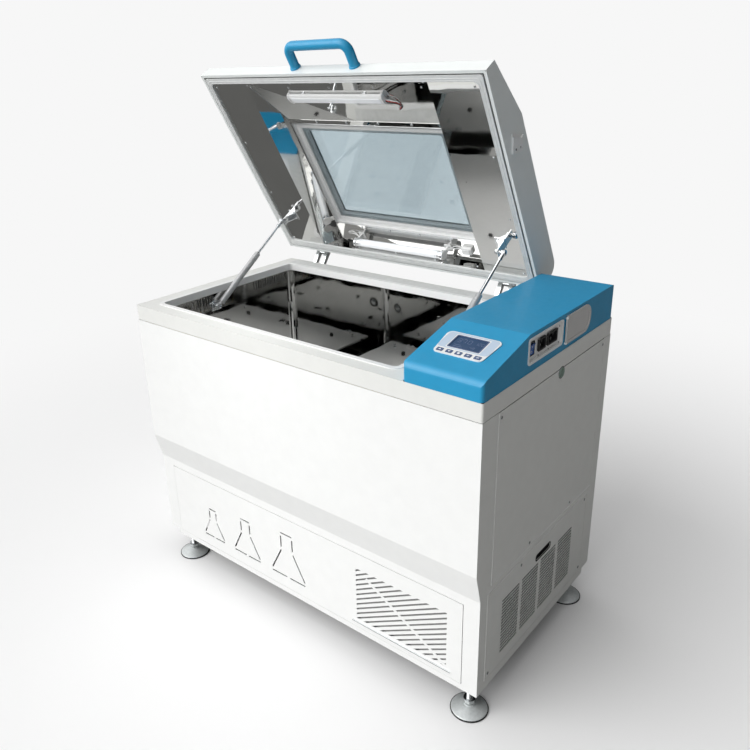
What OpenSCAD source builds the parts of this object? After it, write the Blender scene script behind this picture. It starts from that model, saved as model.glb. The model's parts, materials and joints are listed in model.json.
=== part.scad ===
// Floor-standing incubator orbital shaker with a top-opening lid.
// Module coordinates start at the cabinet's front left corner on the floor:
// X to the right, Y to the back, Z up. origin() moves them to the part's own frame.

/* [Cabinet] */
// Cabinet width
cab_w = 1200; // [1150:10:1300]
// Cabinet depth
cab_d = 680; // [660:5:720]
// Height of the deck above the floor
deck_z = 890; // [870:5:920]
// Bottom edge of the front and right-hand panels
skirt_z = 77; // [70:1:85]
// Bottom edge of the left-hand and rear panels
side_skirt_z = 95; // [90:1:105]
// Height where the front starts to slope back
slope_top_z = 451; // [440:1:470]
// Height where the recessed lower front starts
slope_bottom_z = 367; // [350:1:380]
// How far the lower front sits back
recess = 22; // [15:1:30]
// Sheet metal thickness
sheet = 1.5; // [1.2:0.1:2]
// Height of the deck's folded rim band
deck_band = 45; // [35:1:55]

/* [Chamber] */
// Left wall of the chamber, from the cabinet's left side
chamber_x0 = 58; // [54:1:62]
// Inside width of the chamber
chamber_w = 879; // [860:1:880]
// Front wall of the chamber, from the cabinet's front
chamber_y0 = 55; // [52:1:60]
// Inside depth of the chamber, front to back
chamber_d = 557; // [540:1:565]
// Chamber floor height
floor_z = 385; // [380:1:392]
// Radius of the chamber's upright corners
chamber_r = 22; // [12:1:30]

/* [Platform and drive] */
// Gap between the platform and the chamber walls
platform_gap = 44; // [36:1:60]
// Height of the platform's top face
platform_z = 450; // [448:1:452]
// Orbit radius, half the shaking stroke
orbit_r = 13; // [10:1:13]
// Clamp hole radius
clamp_hole_r = 3.2; // [2.7:0.1:4.2]
// Clamp hole spacing along X
clamp_dx = 360; // [320:10:400]
// Clamp hole spacing along Y
clamp_dy = 240; // [200:10:280]

/* [Lid] */
// Opening angle of the lid
lid_open = 60; // [56:1:62]
// Lid width
lid_w = 985; // [980:1:988]
// Lid depth
lid_d = 685; // [680:1:686]
// Height of the lid's upright front face above the deck
lid_front_h = 44.5; // [40:0.5:50]
// Height of the lid's flat top above the deck
lid_h = 107; // [104:1:112]
// How far the lid's rear face leans out at the top
lid_back_lean = 23; // [18:1:26]
// Depth at which the lid's front slope meets the flat top
lid_slope_y = 182; // [170:1:195]
// Lid hinge axis, from the cabinet's front
hinge_y = 719; // [716:1:724]
// Lid hinge axis, above the deck
hinge_h = 30; // [28:1:32]

/* [Console] */
// Console width
console_w = 205; // [204:1:205]
// Height of the console's upright front
console_front_h = 46; // [42:1:50]
// Height of the console's flat top
console_h = 94; // [90:1:98]
// Depth at which the console's slope meets the flat top
console_slope_y = 199; // [190:1:205]

/* [Gas struts] */
// Lower pivot, from the cabinet's front
strut_low_y = 258; // [254:1:262]
// Lower pivot, below the deck
strut_low_drop = 60; // [58:1:64]
// Upper pivot on the closed lid, from the cabinet's front
strut_top_y = 530; // [526:1:534]
// Upper pivot on the closed lid, below the deck
strut_top_drop = 30; // [28:1:34]
// Cylinder radius
strut_tube_r = 10; // [9:0.5:11]
// Piston rod radius
strut_rod_r = 4.5; // [4:0.5:5]

/* [Feet] */
// Foot disc radius
foot_r = 48.5; // [44:0.5:52]
// Foot screw radius
foot_screw_r = 8; // [7:0.5:8]

/* [Hidden] */
$fn = 64;
eps = 0.01;
fit_gap = 0.05;
hinge_z = deck_z + hinge_h;
chamber_x1 = chamber_x0 + chamber_w;
chamber_y1 = chamber_y0 + chamber_d;
chamber_cx = chamber_x0 + chamber_w / 2;
chamber_cy = chamber_y0 + chamber_d / 2;
band_z = deck_z - deck_band;

// Lid corner that reaches furthest back when the lid is open
lid_back_r = 34;
lid_bottom = 3;
function lid_turn(y, h) = [
  hinge_y + (y - hinge_y) * cos(lid_open) + (h - hinge_h) * sin(lid_open),
  hinge_z - (y - hinge_y) * sin(lid_open) + (h - hinge_h) * cos(lid_open)
];
lean_angle = atan2(lid_back_lean, lid_h - lid_bottom);
lid_back_y = lid_d + (lid_h - lid_back_r - lid_bottom) * tan(lean_angle) - lid_back_r / cos(lean_angle);
overall_d = lid_turn(lid_back_y, lid_h - lid_back_r).x + lid_back_r;
console_x1 = cab_w - 1;
console_x0 = console_x1 - console_w;
cover_axis_x = cab_w + 2;
cover_barrel_r = 2.2;
foot_x = [73, 1165];
foot_y = [49.5, 605];
overall_w = max(cover_axis_x + cover_barrel_r, foot_x[1] + foot_r);

module origin() translate([-overall_w / 2, -overall_d / 2, 0]) children();

// Places children on the open lid: drawn with the lid closed, heights measured from the deck
module on_lid()
  origin() translate([0, hinge_y, hinge_z]) rotate([-lid_open, 0, 0])
    translate([0, -hinge_y, -hinge_h]) children();

// --- outlines with rounded corners: each corner is [x, y, radius] ---
function unit(v) = v / norm(v);
function wrap(a) = a > 180 ? a - 360 : a < -180 ? a + 360 : a;
function arc_points(c, r, a, b, n) =
  [for (i = [0:n]) c + r * [cos(a + (b - a) * i / n), sin(a + (b - a) * i / n)]];
function corner(p, v, q, r, n) =
  r <= 0 ? [v] :
  let (u = unit(p - v), w = unit(q - v), half = acos(u * w) / 2)
  let (c = v + unit(u + w) * r / sin(half))
  let (s = v + u * r / tan(half) - c, e = v + w * r / tan(half) - c)
  let (a = atan2(s.y, s.x))
  arc_points(c, r, a, a + wrap(atan2(e.y, e.x) - a), n);
function rounded(pts, n = 6) =
  let (k = len(pts))
  [for (i = [0:k - 1])
    let (p = pts[(i + k - 1) % k], v = pts[i], q = pts[(i + 1) % k])
    each corner([p.x, p.y], [v.x, v.y], [q.x, q.y], v.z, n)];
function rrect(x0, y0, x1, y1, r, n = 6) =
  rounded([[x0, y0, r], [x1, y0, r], [x1, y1, r], [x0, y1, r]], n);

module block(a, b) translate(a) cube(b - a);
// Extrudes a [y, z] outline from x0 to x1
module along_x(points, x0, x1)
  translate([x0, 0, 0]) rotate([90, 0, 90]) linear_extrude(x1 - x0) polygon(points);
// Extrudes an [x, z] outline from y0 to y1
module along_y(points, y0, y1)
  translate([0, y1, 0]) rotate([90, 0, 0]) linear_extrude(y1 - y0) polygon(points);
module along_z(points, z0, z1)
  translate([0, 0, z0]) linear_extrude(z1 - z0) polygon(points);
// Round bar along X
module bar_x(r, x0, x1, y, z) translate([x0, y, z]) rotate([0, 90, 0]) cylinder(r = r, h = x1 - x0);
// Round bar along Z
module bar_z(r, z0, z1, x, y) translate([x, y, z0]) cylinder(r = r, h = z1 - z0);

// --- cabinet ---
post = 25;
frame_x0 = 40;
frame_y1 = cab_d - 42;
frame_z = 80;
frame_rail = 30;
rail_z = frame_z + 23;
tray_z = frame_z + 27;

module base_frame() {
  color("dimgray") origin() difference() {
    union() {
      difference() {
        block([frame_x0, recess + 2, frame_z], [cab_w - 2, frame_y1, frame_z + 25]);
        block([frame_x0 + frame_rail, recess + 2 + frame_rail, frame_z - 1],
              [cab_w - 2 - frame_rail, frame_y1 - frame_rail, frame_z + 26]);
      }
      for (x = [frame_x0, cab_w - 62], y = [recess + 2, frame_y1 - 62])
        block([x, y, frame_z], [x + 60, y + 60, frame_z + 8]);
      for (x = [4, cab_w - post - 4], y = [recess + 3, cab_d - post - 4])
        block([x, y, rail_z], [x + post, y + post, band_z - 4]);
      for (y = [recess + 3, cab_d - post - 4])
        block([4, y, rail_z], [cab_w - 4, y + post, rail_z + post]);
      for (x = [4, cab_w - post - 4])
        block([x, recess + 3, rail_z], [x + post, cab_d - 4, rail_z + post]);
      for (x = [chamber_cx - 302, chamber_cx + 278])
        block([x, recess + 2, frame_z], [x + 30, frame_y1, frame_z + 25]);
      block([chamber_cx + 303, recess + 4, frame_z + 25 - eps], [cab_w - 30, frame_y1, tray_z]);
    }
    for (x = foot_x, y = foot_y)
      bar_z(foot_screw_r + 0.2, frame_z - 5, side_skirt_z + 50, x, y);
  }
}

// Outline of the cabinet's front, top to bottom, seen from the side
function front_line(inset, bottom) = [
  [inset, band_z - 1.5], [inset, slope_top_z + inset * 0.15],
  [recess + inset, slope_bottom_z + inset * 0.15], [recess + inset, bottom]
];
function reversed(list) = [for (i = [len(list) - 1:-1:0]) list[i]];
service_x0 = 52;
service_x1 = 1154;
service_z0 = 96;
service_z1 = 340;
seam = 1.5;

module front_panel() {
  color("whitesmoke") origin() difference() {
    along_x(concat(front_line(0, skirt_z), reversed(front_line(sheet, skirt_z))), 0, cab_w);
    block([service_x0 - seam, recess - 5, service_z0 - seam],
          [service_x1 + seam, recess + 5, service_z1 + seam]);
    block([-1, recess - 5, skirt_z - 1], [frame_x0, recess + 5, side_skirt_z]);
  }
}

// Square-ended slot between two points of an [x, z] plane
module slot_between(a, b, w) {
  d = b - a;
  along = unit(d);
  side = [-along.y, along.x] * w / 2;
  polygon([a + side, a - side, b - side, b + side]);
}

// Conical flask drawn as six open strokes, base at [x, z], height h
module flask_outline(x, z, h) {
  neck = h * 0.15;
  base = h * 0.45;
  shoulder = h * 0.6;
  w = 5;
  slot_between([x - neck, z + h], [x + neck, z + h], w);
  for (s = [-1, 1]) {
    slot_between([x + s * neck, z + h * 0.93], [x + s * neck, z + shoulder + h * 0.07], w);
    slot_between([x + s * (neck + 1), z + shoulder], [x + s * (base - 1), z + h * 0.07], w);
    slot_between([x + s * base, z], [x + s * h * 0.04, z], w);
  }
}

grille_x0 = 820;
grille_w = 290;
grille_z0 = 124;
grille_h = 168;
grille_rows = 21;
module front_grille() {
  lean = atan2(grille_h, grille_w);
  pitch = 2 * grille_h / grille_rows;
  difference() {
    intersection() {
      translate([grille_x0, grille_z0]) square([grille_w, grille_h]);
      for (i = [0:grille_rows - 1])
        translate([grille_x0, grille_z0 + grille_h - pitch * (i + 0.5)]) rotate(lean)
          translate([-5, -2.7]) square([grille_w * 1.3, 5.4]);
    }
    translate([grille_x0, grille_z0 + grille_h]) rotate(-lean)
      translate([40, -4]) square([grille_w * 1.1, 8]);
  }
}

module service_panel() {
  color("whitesmoke") origin()
    translate([0, recess + sheet, 0]) rotate([90, 0, 0]) linear_extrude(sheet + 0.6)
      difference() {
        polygon(rrect(service_x0, service_z0, service_x1, service_z1, 2, 2));
        front_grille();
        flask_outline(229, 135, 104);
        flask_outline(382, 135, 127);
        flask_outline(559, 135, 150);
      }
}

module side_outline(bottom_z)
  polygon(concat([for (p = front_line(sheet + 0.2, bottom_z)) p],
    [[cab_d - sheet - 0.3, bottom_z], [cab_d - sheet - 0.3, band_z - 1.5]]));

module left_panel() {
  color("whitesmoke") origin()
    rotate([90, 0, 90]) linear_extrude(sheet) side_outline(side_skirt_z);
}

access_y = [70, 636];
access_z = [388, 842];
vent_y = [56, 620];
vent_z = [105, 370];
latch_y = 376;
latch_z = 833;
screw_spots = [[81, 828], [627, 828], [261, 402], [496, 402],
               [71, 120], [605, 120], [223, 356], [605, 356]];
screw_r = 2;

module screw_holes() for (p = screw_spots) translate(p) circle(r = screw_r + 0.3);

module right_panel() {
  color("gainsboro") origin()
    translate([cab_w - sheet, 0, 0]) rotate([90, 0, 90]) linear_extrude(sheet) difference() {
      side_outline(skirt_z);
      translate([access_y[0] - 1, access_z[0] - 1])
        square([access_y[1] - access_y[0] + 2, access_z[1] - access_z[0] + 10]);
      translate([vent_y[0] - 1, vent_z[0] - 1])
        square([vent_y[1] - vent_y[0] + 2, vent_z[1] - vent_z[0] + 2]);
      translate([frame_y1 + 1, skirt_z - 1]) square([60, side_skirt_z - skirt_z + 1]);
    }
}

module access_cover() {
  color("gainsboro") origin()
    translate([cab_w - sheet, 0, 0]) rotate([90, 0, 90]) linear_extrude(sheet) difference() {
      translate([access_y[0], access_z[0]])
        square([access_y[1] - access_y[0], access_z[1] - access_z[0]]);
      translate([latch_y, latch_z]) circle(r = 5 + fit_gap);
      screw_holes();
    }
}

louver_groups = 4;
louver_rows = 17;
module vent_cover() {
  color("gainsboro") origin()
    translate([cab_w - sheet, 0, 0]) rotate([90, 0, 90]) linear_extrude(sheet) difference() {
      translate([vent_y[0], vent_z[0]]) square([vent_y[1] - vent_y[0], vent_z[1] - vent_z[0]]);
      for (g = [0:louver_groups - 1], row = [0:louver_rows - 1])
        translate([132 + g * 104, 140 + row * 9.8]) square([90, 6]);
      polygon(rrect(309, 316, 391, 332, 7, 5));
      screw_holes();
    }
}

module rear_panel() {
  color("whitesmoke") origin() difference() {
    block([0, cab_d - sheet, side_skirt_z], [cab_w, cab_d, band_z - 1.5]);
    for (row = [0:9]) block([820, cab_d - 3, 130 + row * 18], [1060, cab_d + 1, 137 + row * 18]);
  }
}

module deck() {
  color("lightgray") origin() difference() {
    along_z(rrect(0, 0, cab_w, cab_d, 5, 4), band_z, deck_z);
    along_z(rrect(sheet, sheet, cab_w - sheet, cab_d - sheet, 4, 4), band_z - 1, deck_z - sheet);
    along_z(rrect(chamber_x0 - 8, chamber_y0 - 8, chamber_x1 + 8, chamber_y1 + 8, 12),
            band_z - 1, deck_z + 1);
    block([console_x0 + 20, 30, deck_z - 5], [console_x1 - 20, cab_d - 30, deck_z + 1]);
  }
}

module ring(x0, y0, x1, y1, r, wall, z0, z1) difference() {
  along_z(rrect(x0 - wall, y0 - wall, x1 + wall, y1 + wall, r + wall), z0, z1);
  along_z(rrect(x0, y0, x1, y1, r), z0 - 1, z1 + 1);
}

module rim_collar() {
  color("white") origin() {
    ring(chamber_x0, chamber_y0, chamber_x1, chamber_y1, 14, 6, deck_z - 20, deck_z + eps);
    ring(chamber_x0, chamber_y0, chamber_x1, chamber_y1, 14, 14, deck_z + eps, deck_z + 2);
  }
}

// Drive shafts: the driven crank in the middle and two idlers
idler_dx = 250;
idler_dy = 120;
function idler_pos(s) = [chamber_cx + s * idler_dx, chamber_cy + idler_dy];
shaft_r = 15;
idler_r = 10;

module drive_holes(extra, z0, z1) {
  bar_z(shaft_r + extra, z0, z1, chamber_cx, chamber_cy);
  for (s = [-1, 1]) bar_z(idler_r + extra, z0, z1, idler_pos(s).x, idler_pos(s).y);
}

module chamber_liner() {
  color("silver") origin() difference() {
    along_z(rrect(chamber_x0 - 1.2, chamber_y0 - 1.2, chamber_x1 + 1.2, chamber_y1 + 1.2,
                  chamber_r + 1.2), floor_z - 1.2, deck_z - 20.2);
    along_z(rrect(chamber_x0, chamber_y0, chamber_x1, chamber_y1, chamber_r), floor_z, deck_z);
    drive_holes(4, floor_z - 3, floor_z + 3);
    for (i = [0:23], z = [470, 780])
      block([chamber_x1 - 3, 150 + i * 16, z], [chamber_x1 + 3, 157 + i * 16, z + 62]);
  }
}

foam_z0 = 355;
module insulation() {
  color("khaki") origin() difference() {
    union() {
      block([31, 3, slope_top_z + 2], [chamber_x1 + 26, 645, band_z - 2]);
      block([31, recess + 4, foam_z0], [chamber_x1 + 26, 645, slope_top_z + 2 + eps]);
    }
    along_z(rrect(chamber_x0 - 1.4, chamber_y0 - 1.4, chamber_x1 + 1.4, chamber_y1 + 1.4,
                  chamber_r), floor_z - 1.4, deck_z);
    drive_holes(6, foam_z0 - 1, floor_z);
    block([chamber_x1, 145, 465], [chamber_x1 + 40, 540, 850]);
  }
}

// --- console ---
slope_angle = atan2(console_h - console_front_h, console_slope_y);
function console_profile(inset) = rounded([
  [inset, deck_z + 0.3, 0],
  [inset, deck_z + console_front_h - inset, 18 - inset],
  [console_slope_y, deck_z + console_h - inset, 26],
  [cab_d - 2 - inset, deck_z + console_h - inset, 14],
  [cab_d - 2 - inset, deck_z + 0.3, 0]], 6);
display_x = console_x0 + 99;
socket_y = [192, 368];
socket_z = [909, 974];

// Puts children in the plane of the console's slope: X right, Y up the slope, Z outwards
module on_slope()
  origin() translate([display_x, 0, deck_z + console_front_h]) rotate([slope_angle, 0, 0]) children();

// Console body; inset is the distance inside the outer face
module console_body(inset) origin() intersection() {
  along_x(console_profile(inset), console_x0 + inset, console_x1 - inset);
  along_z(rrect(console_x0 + inset, inset, console_x1 - inset, cab_d - 2 - inset, 9 - inset),
          deck_z, deck_z + console_h);
}

module console_housing() {
  color("deepskyblue") difference() {
    console_body(0);
    console_body(3);
    origin() along_z(rrect(console_x0 + 3, 3, console_x1 - 3, cab_d - 5, 6), deck_z, deck_z + 1);
    on_slope() along_z(rrect(-58.6, 67.4, 58.6, 146, 5.5), -15, 15);
    origin() along_x(rrect(socket_y[0] + 3, socket_z[0] + 3, socket_y[1] - 3, socket_z[1] - 3, 6),
                     console_x1 - 10, console_x1 + 10);
  }
}

key_pitch = 24;
key_s = 75;
key_count = 5;
function key_x(i) = (i - 2) * key_pitch;
screen = [-40, 93, 40, 141];

module display_bezel() {
  color("white") on_slope() difference() {
    union() {
      along_z(rounded([[-62, 64, 12], [62, 64, 12], [71, 152, 14], [-71, 152, 14]]), 0.1, 2.2);
      along_z(rrect(-58, 68, 58, 144, 5), -6, 0.1 + eps);
    }
    along_z(rrect(screen[0], screen[1], screen[2], screen[3], 1.5), -3, 5);
    block([screen[0] - 6, screen[1] - 6, -7], [screen[2] + 6, screen[3] + 4, -2.5]);
    for (i = [0:key_count - 1]) translate([key_x(i), key_s, 0]) {
      translate([0, 0, -1.5]) linear_extrude(6) polygon(rrect(-8.3, -6, 8.3, 6, 1.8));
      translate([0, 0, -7]) cylinder(r = 2.6, h = 8);
    }
  }
}

module lcd_screen() {
  color("midnightblue") on_slope()
    along_z(rrect(screen[0] + 0.2, screen[1] + 0.2, screen[2] - 0.2, screen[3] - 0.2, 1.4), -2.4, 0.9);
}

module electronics() {
  color("darkgreen") {
    on_slope() block([-58, 60, -13], [58, 155, -11]);
    on_slope() block([-38, 92, -11 + eps], [38, 142, -6.5]);
    origin() block([console_x0 + 20, 380, deck_z + 12], [console_x1 - 25, 560, deck_z + 15]);
    origin() block([console_x0 + 30, 400, deck_z + 15], [console_x0 + 90, 480, deck_z + 55]);
  }
}

module key_cap(i) {
  color("navy") on_slope() translate([key_x(i), key_s, 0]) {
    translate([0, 0, 0]) linear_extrude(3.2) polygon(rrect(-8, -5.7, 8, 5.7, 1.6));
    translate([0, 0, -5]) cylinder(r = 2.3, h = 5 + eps);
  }
}
module key_1() { key_cap(0); }
module key_2() { key_cap(1); }
module key_3() { key_cap(2); }
module key_4() { key_cap(3); }
module key_5() { key_cap(4); }

rocker_y = 215;
socket_mid = 944;
insert_spots = [[264, 36], [317, 50]];

module socket_frame() {
  color("white") origin() difference() {
    union() {
      along_x(rrect(socket_y[0], socket_z[0], socket_y[1], socket_z[1], 9),
              console_x1 + 0.1, console_x1 + 1.9);
      along_x(rrect(socket_y[0] + 4, socket_z[0] + 4, socket_y[1] - 4, socket_z[1] - 4, 5),
              console_x1 - 8, console_x1 + 0.1 + eps);
    }
    along_x(rrect(socket_y[0] + 6, socket_z[0] + 6, socket_y[1] - 6, socket_z[1] - 6, 4),
            console_x1 - 5, console_x1 + 4);
    along_x(rrect(rocker_y - 13, socket_mid - 16, rocker_y + 13, socket_mid + 16, 1.5),
            console_x1 - 10, console_x1);
    for (s = insert_spots)
      along_x(rrect(s[0] - s[1] / 2, socket_mid - 16, s[0] + s[1] / 2, socket_mid + 14, 1.5),
              console_x1 - 10, console_x1);
  }
}

module socket_inserts() {
  color("black") origin() for (s = insert_spots) difference() {
    along_x(rrect(s[0] - s[1] / 2 + 0.3, socket_mid - 15.7, s[0] + s[1] / 2 - 0.3,
                  socket_mid + 13.7, 1.5), console_x1 - 22, console_x1 - 2.5);
    along_x(rrect(s[0] - s[1] / 2 + 5, socket_mid - 11, s[0] + s[1] / 2 - 5,
                  socket_mid + 9, 3), console_x1 - 16, console_x1);
  }
}

rocker_tilt = 9;
rocker_x = console_x1 - 9;
module rocker_switch() {
  color("royalblue") origin() translate([rocker_x, rocker_y, socket_mid])
    rotate([0, rocker_tilt, 0]) {
      translate([0, 12, 0]) rotate([90, 0, 0]) linear_extrude(24)
        polygon([[-7, -8], [7.5, -13.5], [5.5, 0], [7.5, 13.5], [-7, 8]]);
      translate([0, 12.9, 0]) rotate([90, 0, 0]) cylinder(r = 1.5, h = 25.8);
    }
}

cover_axis_y = 381;
cover_z = [903, 976];
module socket_cover() {
  color("gainsboro") origin() {
    difference() {
      union() {
        along_x(rounded([[cover_axis_y + 3.5, cover_z[0], 3], [cover_axis_y + 144, cover_z[0], 34],
                         [cover_axis_y + 144, cover_z[1], 34], [cover_axis_y + 3.5, cover_z[1], 3]], 10),
                console_x1 + 0.6, console_x1 + 3.4);
        block([console_x1 + 1.2, cover_axis_y, cover_z[0] + 8],
              [console_x1 + 3.4, cover_axis_y + 5, cover_z[1] - 8]);
      }
      along_x(rounded([[cover_axis_y + 12, cover_z[0] + 8, 3], [cover_axis_y + 136, cover_z[0] + 8, 27],
                       [cover_axis_y + 136, cover_z[1] - 8, 27], [cover_axis_y + 12, cover_z[1] - 8, 3]], 10),
              console_x1 + 2.4, console_x1 + 5);
    }
    bar_z(cover_barrel_r, cover_z[0] + 8, cover_z[1] - 8, cover_axis_x, cover_axis_y);
  }
}

module cover_latch() {
  color("dimgray") origin() difference() {
    union() {
      bar_x(13, cab_w + 0.3, cab_w + 2.6, latch_y, latch_z);
      bar_x(5, cab_w - 14, cab_w + 0.3 + eps, latch_y, latch_z);
      block([cab_w - 14, latch_y - 5, latch_z], [cab_w - 11, latch_y + 5, latch_z + 24]);
    }
    block([cab_w + 1.2, latch_y - 1.2, latch_z - 9], [cab_w + 5, latch_y + 1.2, latch_z + 9]);
  }
}

module panel_screws() {
  color("darkgray") origin() for (p = screw_spots) difference() {
    union() {
      bar_x(screw_r, cab_w - 3.5, cab_w + 0.1 + eps, p.x, p.y);
      bar_x(4, cab_w + 0.1, cab_w + 1.6, p.x, p.y);
    }
    block([cab_w + 0.9, p.x - 0.6, p.y - 3], [cab_w + 3, p.x + 0.6, p.y + 3]);
  }
}

// --- gas struts and their brackets ---
strut_low = [strut_low_y, deck_z - strut_low_drop];
strut_top = lid_turn(strut_top_y, -strut_top_drop);
strut_len = norm(strut_top - strut_low);
strut_angle = atan2(strut_top.y - strut_low.y, strut_top.x - strut_low.x);
strut_x = chamber_x0 + 14;
stud_r = 4;
eye_r = 8.5;
tube_len = 0.6 * strut_len;

// Repeats a left-hand part on the right of the chamber
module mirrored() translate([2 * chamber_cx, 0, 0]) mirror([1, 0, 0]) children();
module both_sides() {
  children();
  mirrored() children();
}

module strut_anchors() {
  color("silver") origin() both_sides() difference() {
    union() {
      block([chamber_x0 + 0.2, strut_low.x - 18, strut_low.y - 16],
            [chamber_x0 + 2.2, strut_low.x + 18, strut_low.y + 16]);
      bar_x(stud_r, chamber_x0 + 2.2 - eps, strut_x + 8, strut_low.x, strut_low.y);
      bar_x(7, strut_x + 5.5, strut_x + 9, strut_low.x, strut_low.y);
      bar_x(7, chamber_x0 + 2.2 - eps, strut_x - 5.5, strut_low.x, strut_low.y);
    }
    for (y = [-13, 13], z = [-11, 11])
      bar_x(2.1, chamber_x0, chamber_x0 + 4, strut_low.x + y, strut_low.y + z);
  }
}

// Puts children on the strut's line: Y from the lower pivot towards the upper one
module on_strut() origin() translate([strut_x, strut_low.x, strut_low.y])
  rotate([strut_angle, 0, 0]) children();
module on_strut_right() origin() mirrored() translate([strut_x, strut_low.x, strut_low.y])
  rotate([strut_angle, 0, 0]) children();
// Round bar along Y on the strut's line
module strut_bar(r, y0, y1) translate([0, y0, 0]) rotate([-90, 0, 0]) cylinder(r = r, h = y1 - y0);

module strut_tube() difference() {
  union() {
    rotate([0, 90, 0]) translate([0, 0, -5]) cylinder(r = eye_r, h = 10);
    strut_bar(5.5, 7, 20);
    strut_bar(strut_tube_r, 18, tube_len);
  }
  rotate([0, 90, 0]) translate([0, 0, -6]) cylinder(r = stud_r + fit_gap, h = 12);
  strut_bar(strut_rod_r + fit_gap, 55, tube_len + 1);
}
module strut_rod() {
  strut_bar(strut_rod_r, tube_len - 50, strut_len - 5);
  strut_bar(6, strut_len - 22, strut_len - 6);
  difference() {
    translate([-5, strut_len, 0]) rotate([0, 90, 0]) cylinder(r = eye_r, h = 10);
    translate([-6, strut_len, 0]) rotate([0, 90, 0]) cylinder(r = stud_r, h = 8);
  }
}
module strut_tube_left() { color("darkgray") on_strut() strut_tube(); }
module strut_rod_left() { color("silver") on_strut() strut_rod(); }
module strut_tube_right() { color("darkgray") on_strut_right() strut_tube(); }
module strut_rod_right() { color("silver") on_strut_right() strut_rod(); }

module strut_studs() {
  x0 = strut_x + 5.6;
  h = -strut_top_drop;
  color("silver") on_lid() both_sides() {
    difference() {
      block([x0 + 8, strut_top_y - 18, 3.8], [x0 + 38, strut_top_y + 18, 5.8]);
      for (y = [-12, 12]) bar_z(2.1, 3, 7, x0 + 26, strut_top_y + y);
    }
    block([x0 + 8, strut_top_y - 12, h - 9], [x0 + 11, strut_top_y + 12, 3.8 + eps]);
    bar_x(stud_r, x0, x0 + 8 + eps, strut_top_y, h);
    bar_x(7, x0 + 4, x0 + 8 + eps, strut_top_y, h);
    bar_x(6, x0 + 11 - eps, x0 + 15, strut_top_y, h);
  }
}

// --- lid hinges ---
hinge_x = [125, 860];
knuckle_r = 8;
pin_r = 4;

module hinge_brackets() {
  color("silver") origin() for (x = hinge_x) difference() {
    union() {
      block([x - 25, cab_d + 0.2, band_z + 2], [x + 25, cab_d + 4.2, deck_z - 8]);
      for (s = [-1, 1]) {
        along_x([[cab_d + 0.2, deck_z - 20], [cab_d + 4.2, deck_z - 30],
                 [hinge_y + 6, hinge_z - 5], [hinge_y - 6, hinge_z + 5], [cab_d + 4.2, deck_z - 9]],
                x + s * 18 - 7, x + s * 18 + 7);
        bar_x(knuckle_r, x + s * 18 - 7, x + s * 18 + 7, hinge_y, hinge_z);
      }
    }
    bar_x(pin_r + fit_gap, x - 30, x + 30, hinge_y, hinge_z);
    for (y = [-14, 14]) translate([x + y, cab_d - 1, band_z + 12]) rotate([-90, 0, 0])
      cylinder(r = 2.6, h = 8);
  }
}

module hinge_leaves() {
  color("silver") on_lid() for (x = hinge_x) {
    translate([x, lid_d, lid_bottom]) rotate([-lean_angle, 0, 0]) block([-23, 0.2, 9], [23, 3.2, 58]);
    block([x - 10, lid_d + 7.5, hinge_h - 3], [x + 10, hinge_y - 4, hinge_h + 3]);
    bar_x(knuckle_r, x - 10.5, x + 10.5, hinge_y, hinge_h);
    bar_x(pin_r, x - 27, x + 27, hinge_y, hinge_h);
  }
}

// --- lid ---
function lid_profile(inset) = rounded([
  [inset, lid_bottom, 0],
  [inset, lid_front_h - inset * 0.85, 3],
  [lid_slope_y, lid_h - inset, 20],
  [lid_d + lid_back_lean - inset * 1.2, lid_h - inset, lid_back_r - inset],
  [lid_d - inset, lid_bottom, 0]], 10);
window = [243, 243, 742, 572];
seal_w = 28;
frame_w = 30;
liner_h = 6;
well_h = 74;
well_back = [655, 676];
step_h = [83, 90];
step_w = [frame_w - 1, 15];

module window_shape(grow, z0, z1)
  along_z(rrect(window[0] - grow, window[1] - grow, window[2] + grow, window[3] + grow, 5, 4), z0, z1);

module lid_shell() {
  color("whitesmoke") on_lid() difference() {
    union() {
      difference() {
        along_x(lid_profile(0), 0, lid_w);
        along_x(lid_profile(sheet), sheet, lid_w - sheet);
        block([sheet, sheet, lid_bottom - 1], [lid_w - sheet, lid_d - sheet, lid_bottom + eps]);
      }
      ring(8, 8, lid_w - 8, lid_d - 8, 2, 7, lid_bottom, lid_bottom + 1.5);
    }
    window_shape(6.5, lid_h - 5, lid_h + 2);
    for (x = [-1, 1]) translate([handle_x + x * handle_half, -1, handle_h]) rotate([-90, 0, 0])
      cylinder(r = 4, h = 5);
  }
}

// Tapered well inside the lid, open downwards; grow is the sheet outside the visible face
module lid_well(grow) hull() {
  block([178 - grow, seal_w - grow, liner_h - 1], [814 + grow, well_back[0] + grow, liner_h]);
  block([206 - grow, 196 - grow, well_h - 1], [786 + grow, well_back[1] + grow, well_h + grow]);
}

module lid_liner() {
  color("silver") on_lid() difference() {
    union() {
      block([12, 12, liner_h], [lid_w - 12, lid_d - 12, liner_h + 1.2]);
      intersection() {
        lid_well(1.2);
        block([0, 0, liner_h], [lid_w, lid_d, well_h + 5]);
      }
    }
    lid_well(0);
    window_shape(frame_w, well_h - 5, well_h + 5);
  }
}

module lid_gasket() {
  color("lightgray") on_lid() difference() {
    along_z(rrect(12, 12, lid_w - 12, lid_d - 12, 6), 1.5, liner_h - 0.1);
    along_z(rrect(seal_w, seal_w, lid_w - seal_w, 650, 16), 0, liner_h + 1);
  }
}

module window_frame() {
  color("white") on_lid() difference() {
    window_shape(frame_w + 8, well_h + 1.3, lid_h - sheet - 0.1);
    window_shape(step_w[0], well_h, step_h[0]);
    window_shape(step_w[1], well_h, step_h[1]);
    window_shape(0, well_h, lid_h);
    window_shape(6.4, lid_h - 4.5, lid_h);
  }
}

module window_panes() {
  color("lightblue", 0.4) on_lid() {
    window_shape(step_w[1] - 0.3, step_h[1] - 3.8, step_h[1] - 0.1);
    window_shape(6, lid_h - 4.4, lid_h - 0.4);
  }
}

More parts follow.
